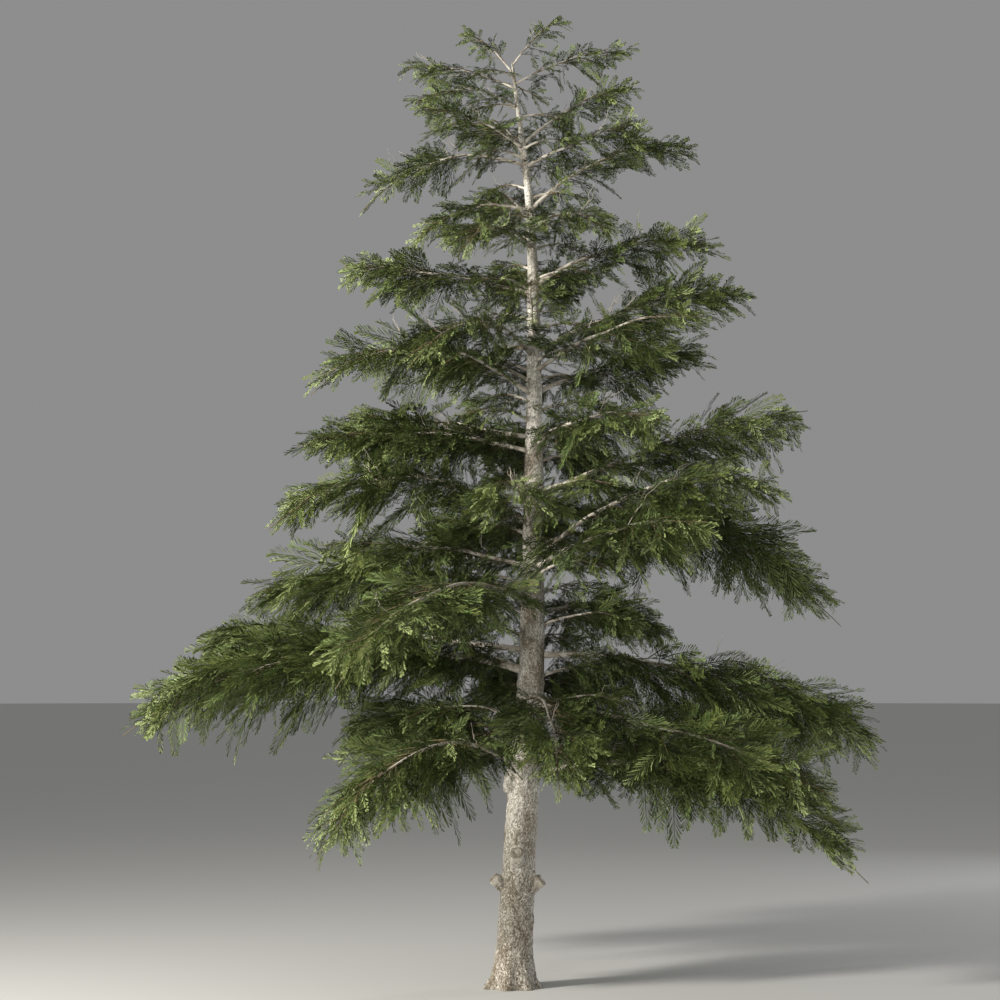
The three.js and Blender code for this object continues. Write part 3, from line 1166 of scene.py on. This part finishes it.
    def smooth(self, piece: Piece) -> None:
        """Subdivides the cage, with a sharp rim at the ground.

        Args:
            piece: the cage.
        """
        choose(piece, Domain.VERTICES, vertex_places(piece)[:, 2] < self.same)
        bpy.ops.transform.edge_crease(value=1.0)
        bpy.ops.object.mode_set(mode="OBJECT")
        smoother = piece.modifiers.new("smooth", "SUBSURF")
        smoother.levels = smoother.render_levels = self.smoothing
        bpy.ops.object.modifier_apply(modifier=smoother.name)

    def carve_bark(self, piece: Piece) -> None:
        """Pushes the surface in and out by lumps, plates and flakes, then levels the foot.

        Args:
            piece: the smooth trunk.
        """
        bpy.ops.object.empty_add(location=(0, 0, 0))
        grain = bpy.context.object
        grain.scale = self.grain
        deselect_all()
        piece.select_set(True)
        bpy.context.view_layer.objects.active = piece
        for name, kind, size, strength in self.carvings:
            texture = bpy.data.textures.new(f"bark_{name}", kind)
            texture.noise_scale = size
            carve = piece.modifiers.new(name, "DISPLACE")
            carve.texture = texture
            carve.texture_coords = "OBJECT"
            carve.texture_coords_object = grain
            carve.strength = strength
            carve.mid_level = 0.5
            carve.vertex_group = self.relief_group(piece)
            bpy.ops.object.modifier_apply(modifier=carve.name)
        bpy.data.objects.remove(grain)
        choose(piece, Domain.VERTICES, vertex_places(piece)[:, 2] < self.level_below)
        bpy.ops.transform.resize(value=(1, 1, 0), center_override=(0, 0, 0))
        bpy.ops.object.mode_set(mode="OBJECT")
        bpy.ops.object.shade_smooth()

    def relief_group(self, piece: Piece) -> str:
        """A vertex group that weakens the relief as the trunk gets thinner.

        Args:
            piece: the smooth trunk.

        Returns:
            The group's name.
        """
        name = "relief"
        if name not in piece.vertex_groups:
            group = piece.vertex_groups.new(name=name)
            heights = vertex_places(piece)[:, 2]
            thinness = TRUNK_LINE.radius(heights) / TRUNK_LINE.foot_radius
            weights = np.clip(thinness, self.least_relief, 1)
            for index, weight in enumerate(np.round(weights, 2)):
                group.add((index,), float(weight), "REPLACE")
        return name

    def mark_limbs(self, piece: Piece) -> None:
        """Stores how near each part of the bark is to the foot of a limb.

        Args:
            piece: the trunk.
        """
        places = vertex_places(piece)
        nearest = np.zeros(len(places))
        for limb in LIMBS:
            spot = limb.points(np.array((limb.trunk_radius / limb.reach,)))[0]
            thickness = limb.trunk_radius / TRUNK_LINE.foot_radius
            size = self.mark_size * (self.mark_constant + thickness)
            distance = np.linalg.norm((places - spot) * self.mark_weights, axis=1) / size
            nearest = np.maximum(nearest, np.exp(-(distance**2)))
        store(piece, self.MARK_ATTRIBUTE, nearest)

    def mark_cuts(self, piece: Piece) -> None:
        """Stores which parts of the trunk are weathered stubs, and dark rings on their ends: one
        inside the end, and one at its edge that is partly the bark and partly a painted shadow
        round the end.

        Args:
            piece: the trunk.
        """
        places = vertex_places(piece)
        is_cut, ring_and_shadow = np.zeros(len(places)), np.zeros(len(places))
        for stub in self.stubs:
            aim = self.aim(stub)
            along = (places - stub.middle) @ aim
            beside = np.linalg.norm(places - stub.middle - along[:, None] * aim, axis=1)
            near = beside < self.stub_room * self.stub_rings[0][1]
            at_end = near & (along > self.stub_end)
            side = np.interp(along, self.stub_side, (0.0, self.stub_side_share))
            is_cut = np.maximum(is_cut, near * np.where(at_end, 1.0, side))
            # The ring at the end's edge is partly bark and partly painted shadow.
            ring_and_shadow = np.maximum(ring_and_shadow, at_end * np.interp(beside, *self.stub_ring))
        store(piece, self.CUT_ATTRIBUTE, is_cut)
        store(piece, self.RIM_ATTRIBUTE, ring_and_shadow)


@dataclass
class LimbWood:
    """The bark of every limb, knotty and swollen where it leaves the trunk."""

    sides: int = 12
    rings: int = 36
    knots: float = 0.09
    young_from: float = 0.55
    young_to: float = 0.85

    YOUNG_ATTRIBUTE = "young_bark"

    def build(self) -> Piece:
        """Makes all limbs as one mesh.

        Returns:
            The limbs.
        """
        rng = np.random.default_rng(SEED)
        parts = MeshParts()
        youth = []
        for limb in ALL_LIMBS:
            shares = np.linspace(limb.foot, 1, self.rings)
            bumps = rng.normal(0, self.knots, (1, self.rings, self.sides))
            bumps = (bumps + np.roll(bumps, 1, axis=1) + np.roll(bumps, 1, axis=2)) / 2
            radii = limb.radii(shares)[None, :, None] * (1 + bumps)
            add_tubes(parts, limb.points(shares)[None], radii, self.sides)
            young = np.interp(shares, (self.young_from, self.young_to), (0.0, 1.0))
            youth += [np.repeat(young, self.sides), young[:1], young[-1:]]
        piece = parts.piece("limb_bark", (LimbBark().material(),), True)
        store(piece, self.YOUNG_ATTRIBUTE, np.concatenate(youth))
        return piece

    def dress(self, piece: Piece) -> None:
        """Gives the limbs their place on the tree."""
        settle(piece, limb_nodes("bough"))


@dataclass
class DeadTwigs:
    """Thin, crooked, leafless twigs that stand up from the limbs, each with a fork."""

    for_each_metre: float = 1.6
    joints: int = 7
    sides: int = 5
    thickest: float = 0.0034
    thinnest: float = 0.0012
    # Where they stand along a limb.
    stretch: Span = (0.2, 0.75)
    lengths: Span = (0.16, 0.46)
    # What of that length is left on a very short limb, and more for each metre of reach.
    short_length: float = 0.4
    length_per_reach: float = 0.3
    # How they lean out along the limb, to its sides and up, and how crooked they are.
    lean_out: float = 0.7
    lean_aside: float = 0.45
    lean_up: Span = (0.25, 1.2)
    crook: float = 0.34
    # A fork leaves at this joint, and is smaller and thinner than its twig and drawn out of shape.
    fork_joint: int = 2
    fork_size: float = 0.6
    fork_radius: float = 0.7
    fork_stretch: Span = (0.4, 1.2)

    def build(self) -> Piece:
        """Makes all dead twigs as one mesh.

        Returns:
            The twigs.
        """
        rng = np.random.default_rng(SEED + 1)
        parts = MeshParts()
        for limb in LIMBS:
            count = rng.poisson(self.for_each_metre * limb.reach)
            if count == 0:
                continue
            shares = rng.uniform(*self.stretch, count)
            paths = self.paths(limb, shares, rng)
            fork = self.fork_size * (paths - paths[:, :1])
            fork = fork * rng.uniform(*self.fork_stretch, (count, 1, 3))
            fork = paths[:, self.fork_joint][:, None] + fork
            radii = np.tile(np.linspace(self.thickest, self.thinnest, self.joints), (count, 1))
            add_tubes(parts, paths, radii, self.sides)
            add_tubes(parts, fork, self.fork_radius * radii, self.sides)
        return parts.piece("dead_twigs", (DEAD_WOOD.material(),), True)

    def paths(self, limb: Limb, shares: Array, rng: np.random.Generator) -> Array:
        """Crooked lines that set out upward and outward.

        Args:
            limb: the limb that carries them.
            shares: where they leave it.
            rng: the source of chance.

        Returns:
            Points by twig, by place along it, by coordinate.
        """
        count = len(shares)
        shorter = min(1.0, self.short_length + self.length_per_reach * limb.reach)
        length = rng.uniform(*self.lengths, count) * shorter
        out = limb.headings(shares)
        side = np.cross(out, UP) * rng.normal(0, self.lean_aside, (count, 1))
        aim = unit(self.lean_out * out + side + rng.uniform(*self.lean_up, (count, 1)) * UP)
        steps = aim[:, None] + rng.normal(0, self.crook, (count, self.joints - 1, 3))
        steps = unit(steps) * (length / (self.joints - 1))[:, None, None]
        start = limb.points(shares)[:, None]
        return np.concatenate((start, start + np.cumsum(steps, axis=1)), axis=1)

    def dress(self, piece: Piece) -> None:
        """Gives the dead twigs their place on the tree."""
        settle(piece)


@dataclass(frozen=True)
class SprayPattern:
    """One flat spray of length 1: a rib with slim leaflets on both sides.

    Scale leaves of two or three millimetres are too fine to show, so each leaflet stands for a
    small branch of them.

    Attributes:
        places: vertices by their place along, across and over the spray.
        hang: how far each vertex hangs for a droop of 1.
        faces: three vertex numbers in each row.
        is_tip: whether each triangle is new growth.
    """

    places: Array
    hang: Array
    faces: Array
    is_tip: Array

    # A leaflet by shares of its length and half width: a narrow foot and a blunt, slanted tip.
    BLADE = np.array(((0.0, 0.0), (0.9, -1.0), (1.0, 1.0)))
    BLADE_FACES = np.array(((0, 1, 2),))
    # Half a leaflet's width, as a share of the way to the next one.
    HALF_WIDTH = 0.36
    # How likely a leaflet is to be new growth.
    NEW_AT_FOOT, NEW_AT_TIP = 0.2, 0.85
    # The rib by shares of the spray's length and half its width there.
    RIB = np.array(((0.0, 0.010), (0.4, 0.009), (0.75, 0.006), (1.0, 0.002)))
    # Where the first and last leaflets stand.
    FIRST, LAST = 0.03, 0.98
    # The longest leaflet, the chance in lengths, what is left of one at the spray's foot, how fast
    # the next ones get longer, and how suddenly they shorten at its end.
    LONGEST = 0.26
    LENGTHS = (0.8, 1.15)
    FOOT_LENGTH, FOOT_GROWTH = 0.5, 2.5
    END_POWER = 5
    # Degrees between a leaflet and the rib, and the chance in them.
    BASE_ANGLE, TIP_ANGLE, ANGLE_CHANCE = 50.0, 34.0, 6.0
    TWIST = 28.0
    PITCH = 10.0
    # How much a leaflet bends forward to its tip, and how far that hangs for its length.
    BEND = 0.25
    LEAFLET_HANG = 0.4

    @classmethod
    def grown(cls, pairs: int, rng: np.random.Generator) -> "SprayPattern":
        """Grows one pattern.

        Args:
            pairs: how many leaflets it has on each side.
            rng: the source of chance.

        Returns:
            The pattern.
        """
        edges = np.array([(x, side * width, 0.0) for x, width in cls.RIB for side in (-1, 1)])
        steps = 2 * np.arange(len(cls.RIB) - 1)
        left = np.stack((steps, steps + 2, steps + 1), 1)
        right = np.stack((steps + 1, steps + 2, steps + 3), 1)
        parts = MeshParts()
        parts.add(edges, np.concatenate((left, right)))
        hangs = [edges[:, 0] ** 2]
        tips = [np.zeros(len(left) + len(right), bool)]
        out, wide = cls.BLADE.T
        for i in range(2 * pairs):
            side = 1 if i % 2 == 0 else -1
            x = cls.FIRST + (cls.LAST - cls.FIRST) * (i + 0.5) / (2 * pairs)
            shape = min(1.0, cls.FOOT_LENGTH + cls.FOOT_GROWTH * x)
            shape = shape * (1 - x**cls.END_POWER) ** 0.5
            length = cls.LONGEST * shape * rng.uniform(*cls.LENGTHS)
            angle = cls.BASE_ANGLE + (cls.TIP_ANGLE - cls.BASE_ANGLE) * x
            angle = math.radians(angle + rng.uniform(-cls.ANGLE_CHANCE, cls.ANGLE_CHANCE))
            twist = math.radians(rng.uniform(-cls.TWIST, cls.TWIST))
            pitch = math.tan(math.radians(rng.uniform(-cls.PITCH, cls.PITCH)))
            along = length * out
            across = cls.HALF_WIDTH / pairs * wide
            bend = angle - cls.BEND * out
            flat = across * math.cos(twist)
            ahead = x + along * np.cos(bend) - flat * np.sin(bend)
            aside = side * (along * np.sin(bend) + flat * np.cos(bend))
            lift = across * math.sin(twist) + pitch * along
            parts.add(np.column_stack((ahead, aside, lift)), cls.BLADE_FACES)
            hangs.append(x**2 + cls.LEAFLET_HANG * length * out**2)
            is_new = rng.random() < cls.NEW_AT_FOOT + (cls.NEW_AT_TIP - cls.NEW_AT_FOOT) * x
            tips.append(np.full(len(cls.BLADE_FACES), is_new))
        return cls(*(np.concatenate(rows) for rows in (parts.places, hangs, parts.faces, tips)))

    def laid(self, shoots: Shoots) -> Array:
        """Lays the pattern along each of the shoots.

        Args:
            shoots: the sprays' places.

        Returns:
            Vertices by spray, by number, by coordinate.
        """
        over = np.cross(shoots.along, shoots.across)
        axes = np.stack((shoots.along, shoots.across, over), axis=1)
        size = shoots.length[:, None, None]
        fall = (shoots.length * shoots.droop)[:, None] * self.hang
        return shoots.start[:, None] + size * (self.places @ axes) - fall[..., None] * UP


@dataclass
class Foliage:
    """Side twigs along the limbs, and the sprays of leaves that they carry."""

    # A limb's foot is bare for this many metres from the trunk, or for this share of a short one,
    # and its side twigs end before its tip.
    bare: float = 0.055
    bare_share: float = 0.3
    last_station: float = 0.88
    # From one side twig to the next, and the chance in its place between them.
    station: float = 0.027
    station_per_reach: float = 0.005
    station_chance: Span = (0.1, 0.9)
    # A side twig's length by its place along the limb, with the chance in it.
    side_length: float = 0.14
    side_length_per_reach: float = 0.215
    side_profile: tuple[tuple[float, ...], ...] = (
        (0.07, 0.2, 0.4, 0.72, 1.0),
        (0.4, 0.75, 1.0, 0.62, 0.22),
    )
    side_length_chance: Span = (0.7, 1.12)
    # Degrees from the limb, and how many fewer at its tip.
    side_angle: float = 66.0
    side_angle_loss: float = 34.0
    side_angle_chance: Span = (0.55, 1.2)
    # A side twig keeps this share of the limb's slope and rises by more near the tip.
    side_slope: float = 0.5
    side_lift: Span = (-0.16, 0.12)
    side_lift_chance: float = 0.16
    side_roll: float = 72.0
    # Droop of twigs and sprays, which is stronger on long limbs, and for twigs toward the tip.
    side_droop: float = 0.17
    spray_droop: float = 0.16
    droop_per_reach: float = 0.045
    droop_profile: Span = (0.3, 1.5)
    side_droop_chance: Span = (0.5, 1.4)
    spray_droop_chance: Span = (0.4, 1.3)
    twig_radius: float = 0.0042
    twig_tip: float = 0.0012
    twig_joints: int = 5
    twig_sides: int = 3
    # From one spray to the next, the chance in its place, and the bare share of a twig.
    spray_spacing: float = 0.052
    spray_spacing_per_length: float = 0.052
    spray_chance: Span = (0.3, 0.9)
    spray_first: float = 0.22
    fewest_sprays: int = 2
    # A spray is as long as its twig, less this share at the twig's end, within these limits.
    spray_loss: float = 0.45
    spray_length_chance: Span = (0.75, 1.2)
    spray_sizes: Span = (0.12, 0.46)
    spray_turn: float = 40.0
    spray_turn_chance: Span = (0.75, 1.25)
    spray_roll: float = 45.0
    # The spray that ends a twig: where it begins, and its length for the twig's.
    end_start: float = 0.75
    end_length: float = 0.55
    # The spray that ends a limb: where it begins, its length as a share of the reach, how far it
    # goes past the tip, and its droop.
    tip_start: float = 0.82
    tip_length: float = 0.18
    tip_past: float = 0.02
    tip_droop: float = 0.3
    # How far out in the crown a spray is, by the twig's place on the limb and its own on the twig.
    # It picks the spray's tone, darker further in: partly older leaves, partly painted shade.
    outer_on_limb: float = 0.55
    outer_on_twig: float = 0.35
    outer_chance: float = 0.13
    leaflet_spacing: float = 0.0135
    leaflet_pairs: tuple[int, int] = (8, 34)
    variants: int = 3
    # Sprays stay off the trunk, above the lowest foliage and hardly past the solids' box, at these
    # places along them.
    clear_of_trunk: float = 0.03
    lowest: float = 0.86
    proud: float = 0.04
    checked: tuple[float, ...] = (0.0, 0.5, 1.0)

    def build(self) -> list[tuple[Piece, str, list[str]]]:
        """Grows all side twigs and sprays.

        Returns:
            Each piece with a word for its kind and the solids that it stands for.
        """
        patterns = self.patterns()
        twig_parts = MeshParts()
        leaves: dict[str, MeshParts] = {}
        for index, limb in enumerate(ALL_LIMBS):
            rng = np.random.default_rng((SEED, index))
            twigs = self.side_twigs(limb, rng)
            self.add_twigs(twig_parts, twigs)
            sprays = self.sprays(limb, twigs, rng)
            self.add_sprays(leaves.setdefault(limb.cluster, MeshParts()), sprays, patterns, rng)
        made = [(twig_parts.piece("green_twigs", (TWIG.material(),), True), "bark", [])]
        tints = [tint.finish().material() for tint in LeafTint]
        for cluster, parts in leaves.items():
            limbs = [limb for limb in LIMBS if limb.cluster == cluster]
            piece = parts.piece(f"{cluster}_sprays", tints, False)
            made.append((piece, "foliage", limb_nodes("foliage", limbs)))
        return made

    def dress(self, made: list[tuple[Piece, str, list[str]]]) -> None:
        """Gives the twigs and sprays their places on the tree."""
        for piece, slot, nodes in made:
            settle(piece, nodes)

    def patterns(self) -> dict[tuple[int, int], SprayPattern]:
        """Grows a few patterns for each number of leaflets.

        Returns:
            Patterns by number of leaflets and variant.
        """
        rng = np.random.default_rng(SEED + 2)
        fewest, most = self.leaflet_pairs
        return {
            (pairs, variant): SprayPattern.grown(pairs, rng)
            for pairs in range(fewest, most + 1)
            for variant in range(self.variants)
        }

    def side_twigs(self, limb: Limb, rng: np.random.Generator) -> Shoots:
        """Grows side twigs alternately left and right, shorter toward the limb's tip.

        Args:
            limb: the limb.
            rng: the source of chance.

        Returns:
            The side twigs.
        """
        first = min((limb.trunk_radius + self.bare) / limb.reach, self.bare_share)
        stretch = self.last_station - first
        station = (self.station + self.station_per_reach * limb.reach) / limb.fullness
        count = round(stretch * limb.reach / station)
        part = (np.arange(count) + rng.uniform(*self.station_chance, count)) / count
        shares = first + stretch * part
        side = np.where(np.arange(count) % 2 == 0, 1.0, -1.0)
        heading = limb.headings(shares)
        level = heading.copy()
        lift = np.interp(part, (0.0, 1.0), self.side_lift)
        lift = lift + rng.normal(0, self.side_lift_chance, count)
        level[:, 2] = self.side_slope * heading[:, 2] + lift
        angle = self.side_angle - self.side_angle_loss * part
        angle = angle * rng.uniform(*self.side_angle_chance, count)
        along = turned(unit(level), side * angle)
        longest = self.side_length + self.side_length_per_reach * limb.reach
        length = longest * np.interp(shares, *self.side_profile)
        length = length * rng.uniform(*self.side_length_chance, count)
        roll = np.radians(rng.uniform(-self.side_roll, self.side_roll, count))[:, None]
        flat = unit(np.cross(UP, along))
        across = np.cos(roll) * flat + np.sin(roll) * np.cross(along, flat)
        droop = limb.hang * (self.side_droop + self.droop_per_reach * limb.reach)
        droop = droop * np.interp(part, (0.0, 1.0), self.droop_profile)
        droop = droop * rng.uniform(*self.side_droop_chance, count)
        return Shoots(limb.points(shares), along, across, length, droop, shares)

    def add_twigs(self, parts: MeshParts, twigs: Shoots) -> None:
        """Adds the wood of side twigs.

        Args:
            parts: what it is added to.
            twigs: the side twigs.
        """
        count = len(twigs.length)
        shares = np.linspace(0, 1, self.twig_joints)
        owner = np.repeat(np.arange(count), self.twig_joints)
        paths = twigs.points(owner, np.tile(shares, count)).reshape(count, self.twig_joints, 3)
        radii = self.twig_radius + (self.twig_tip - self.twig_radius) * shares
        add_tubes(parts, paths, np.tile(radii, (count, 1)), self.twig_sides)

    def sprays(self, limb: Limb, twigs: Shoots, rng: np.random.Generator) -> Shoots:
        """Grows sprays along side twigs, one at the end of each, and one at the limb's tip.

        Args:
            limb: the limb.
            twigs: its side twigs.
            rng: the source of chance.

        Returns:
            The sprays that stay clear of the trunk and the ground.
        """
        spacing = self.spray_spacing + self.spray_spacing_per_length * twigs.length
        counts = np.maximum(self.fewest_sprays, np.round(twigs.length / spacing)).astype(int)
        owner = np.repeat(np.arange(len(counts)), counts)
        order = np.concatenate([np.arange(count) for count in counts])
        share = (order + rng.uniform(*self.spray_chance, len(order))) / counts[owner]
        share = self.spray_first + (1 - self.spray_first) * share
        side = np.where((order + owner) % 2 == 0, 1.0, -1.0)
        turn = side * self.spray_turn * rng.uniform(*self.spray_turn_chance, len(order))
        length = twigs.length[owner] * (1 - self.spray_loss * share)
        aside = self.spray_shoots(twigs, owner, share, turn, length, limb, rng)
        ends = np.arange(len(counts))
        start, ahead = np.full(len(ends), self.end_start), np.zeros(len(ends))
        length = self.end_length * twigs.length
        last = self.spray_shoots(twigs, ends, start, ahead, length, limb, rng)
        tip = self.limb_tip(limb)
        foot, ahead = np.zeros(1, int), np.zeros(1)
        leader = self.spray_shoots(tip, foot, ahead, ahead, tip.length, limb, rng)
        grown = joined((aside, last, leader))
        return grown.kept(self.is_clear(grown))

    def limb_tip(self, limb: Limb) -> Shoots:
        """The last stretch of a limb, as a shoot that a spray can grow on.

        Args:
            limb: the limb.

        Returns:
            The one shoot.
        """
        shares = np.array((self.tip_start,))
        start, along = limb.points(shares), limb.headings(shares)
        length = np.array((self.tip_length * limb.reach + self.tip_past,))
        across = unit(np.cross(UP, along))
        return Shoots(start, along, across, length, np.array((self.tip_droop,)), np.ones(1))

    def spray_shoots(
        self,
        twigs: Shoots,
        owner: Array,
        share: Array,
        turn: Array,
        length: Array,
        limb: Limb,
        rng: np.random.Generator,
    ) -> Shoots:
        """Places sprays on side twigs.

        Args:
            twigs: the side twigs.
            owner: the twig that each spray is on.
            share: its place along that twig.
            turn: degrees from the twig.
            length: its length before chance and limits.
            limb: the limb.
            rng: the source of chance.

        Returns:
            The sprays.
        """
        count = len(owner)
        length = length * rng.uniform(*self.spray_length_chance, count)
        length = np.clip(length, *self.spray_sizes)
        roll = rng.uniform(-self.spray_roll, self.spray_roll, count)
        droop = limb.hang * (self.spray_droop + self.droop_per_reach * limb.reach)
        droop = droop * rng.uniform(*self.spray_droop_chance, count)
        outer = self.outer_on_limb * twigs.outer[owner] + self.outer_on_twig * share
        outer = outer + rng.normal(0, self.outer_chance, count)
        return twigs.branch(owner, share, turn, roll, length, droop, outer)

    def is_clear(self, sprays: Shoots) -> Array:
        """Finds the sprays that stay off the trunk and inside the crown.

        Args:
            sprays: the sprays.

        Returns:
            Whether each one does.
        """
        every = np.arange(len(sprays.length))
        clear = np.ones(len(every), bool)
        for share in self.checked:
            points = sprays.points(every, np.full(len(every), share))
            beside = points - TRUNK_LINE.middle(points[:, 2])
            room = TRUNK_LINE.radius(points[:, 2]) + self.clear_of_trunk
            clear &= np.linalg.norm(beside[:, :2], axis=1) > room
            clear &= points[:, 2] > self.lowest
            clear &= np.all(points > np.array(CAD_BOX[0]) - self.proud, axis=1)
            clear &= np.all(points < np.array(CAD_BOX[1]) + self.proud, axis=1)
        return clear

    def add_sprays(
        self,
        parts: MeshParts,
        sprays: Shoots,
        patterns: dict[tuple[int, int], SprayPattern],
        rng: np.random.Generator,
    ) -> None:
        """Adds the leaves of sprays, each with its own tone.

        Args:
            parts: what they are added to.
            sprays: the sprays.
            patterns: patterns by number of leaflets and variant.
            rng: the source of chance.
        """
        count = len(sprays.length)
        pairs = np.clip(np.round(sprays.length / self.leaflet_spacing), *self.leaflet_pairs)
        variant = rng.integers(0, self.variants, count)
        tones = list(SprayTone)
        # Sprays further in take darker tones and those at the edge paler ones: partly the leaves'
        # age, partly painted shade and painted light.
        tone = np.clip(sprays.outer * len(tones), 0, len(tones) - 1).astype(int)
        numbers = {tint: i for i, tint in enumerate(LeafTint)}
        tints = np.array([[numbers[tint] for tint in pair.value] for pair in tones])
        # Each spray's darker base tint is partly painted shade among its leaflets, and its paler
        # tip tint is partly painted light.
        older, newer_and_lit = tints[tone].T
        for (wanted, kind), pattern in patterns.items():
            chosen = (pairs == wanted) & (variant == kind)
            if not chosen.any():
                continue
            places = pattern.laid(sprays.kept(chosen))
            number = np.arange(len(places)) * len(pattern.places)
            faces = pattern.faces[None] + number[:, None, None]
            finishes = np.where(pattern.is_tip, newer_and_lit[chosen][:, None], older[chosen][:, None])
            parts.add(places.reshape(-1, 3), faces.reshape(-1, 3), finishes.ravel())


@dataclass(frozen=True)
class Lamp:
    """A round soft lamp, by how it looks from the crown and the light that it gives there.

    Attributes:
        name: what it is for.
        azimuth: the angle about the trunk at which it stands.
        elevation: the angle above the level.
        distance: how far off it is.
        strength: its light on the crown, in watts for each square metre.
        width: the angle that it fills.
        colour: its colour.
    """

    name: str
    azimuth: float
    elevation: float
    distance: float
    strength: float
    width: float
    colour: str

    # The angle that its grid lets light out over, which keeps the floor below it from glaring.
    SPREAD = 110.0

    @property
    def turn(self) -> tuple[float, float, float]:
        """The turn about each axis that aims it at the crown."""
        return (math.radians(90 - self.elevation), 0.0, math.radians(self.azimuth + 90))

    @property
    def size(self) -> float:
        """Its width in metres."""
        return 2 * self.distance * math.tan(math.radians(self.width / 2))

    @property
    def energy(self) -> float:
        """Its power, by the square of the distance and by how much a grid gathers light ahead.

        Returns:
            Watts.
        """
        half = math.radians(self.SPREAD / 2)
        ahead = math.tan(half) / (math.tan(half) - half)
        return self.strength * math.pi * self.distance**2 / ahead

    @property
    def offset(self) -> Array:
        """Its place from the middle of the crown."""
        up = math.radians(self.elevation)
        return self.distance * (math.cos(up) * level_heading(self.azimuth) + math.sin(up) * UP)


@dataclass
class Studio:
    """Pale floor, soft lamps and the camera."""

    floor_radius: float = 150.0
    floor_sides: int = 128
    floor_height: float = -0.001
    sky: str = "#e6e6e6"
    sky_strength: float = 0.34
    lamps: tuple[Lamp, ...] = (
        Lamp("key", 213.0, 17.0, 14.0, 5.2, 6.0, "#fffaf2"),
        Lamp("side", 186.0, 0.0, 40.0, 1.25, 10.0, "#fffaf2"),
        Lamp("front", 256.0, 3.0, 40.0, 0.95, 14.0, "#fffaf2"),
        Lamp("rim", 36.0, -3.0, 20.0, 1.6, 8.0, "#f6f8ff"),
    )
    crown_middle: tuple[float, float, float] = (0.0, 0.0, 3.0)
    camera_place: tuple[float, float, float] = (-0.098, -20.0, 2.6)
    camera_tilt: float = 3.86
    lens_mm: float = 88.06
    sensor_mm: float = 36.0
    farthest: float = 500.0

    def build(self) -> None:
        """Makes the floor, the lamps, the sky and the camera."""
        self.lay_floor()
        self.light()
        self.place_camera()

    def lay_floor(self) -> None:
        """Makes a wide round floor just under the trunk's cut."""
        deselect_all()
        bpy.ops.mesh.primitive_circle_add(
            vertices=self.floor_sides,
            radius=self.floor_radius,
            fill_type="NGON",
            location=(0, 0, self.floor_height),
        )
        bpy.ops.object.transform_apply()
        floor = bpy.context.object
        floor.name = "studio_floor"
        floor.data.materials.append(FLOOR.material())

    def light(self) -> None:
        """Hangs the lamps and sets the sky's even light."""
        for lamp in self.lamps:
            deselect_all()
            place = tuple(np.array(self.crown_middle) + lamp.offset)
            bpy.ops.object.light_add(type="AREA", location=place, rotation=lamp.turn)
            made = bpy.context.object
            made.name = f"{lamp.name}_lamp"
            made.visible_camera = False
            made.data.shape = "DISK"
            made.data.size = lamp.size
            made.data.spread = math.radians(lamp.SPREAD)
            made.data.energy = lamp.energy
            made.data.color = linear(lamp.colour)[:3]
        world = bpy.data.worlds.new("studio_sky")
        bpy.context.scene.world = world
        world.use_nodes = True
        sky = world.node_tree.nodes["Background"]
        sky.inputs["Color"].default_value = linear(self.sky)
        sky.inputs["Strength"].default_value = self.sky_strength

    def place_camera(self) -> None:
        """Puts the camera where it sees the tree from the photograph's angle."""
        deselect_all()
        tilt = math.radians(90 + self.camera_tilt)
        bpy.ops.object.camera_add(location=self.camera_place, rotation=(tilt, 0, 0))
        camera = bpy.context.object
        camera.data.lens = self.lens_mm
        camera.data.sensor_width = self.sensor_mm
        camera.data.clip_end = self.farthest
        bpy.context.scene.camera = camera
        bpy.context.scene.view_settings.view_transform = "Standard"


def main() -> None:
    """Builds and dresses the tree, then the studio round it."""
    logging.basicConfig(level=logging.INFO, format="%(message)s")
    for part in (Trunk(), LimbWood(), DeadTwigs(), Foliage()):
        part.dress(part.build())
    Studio().build()


if __name__ == "__main__":
    main()
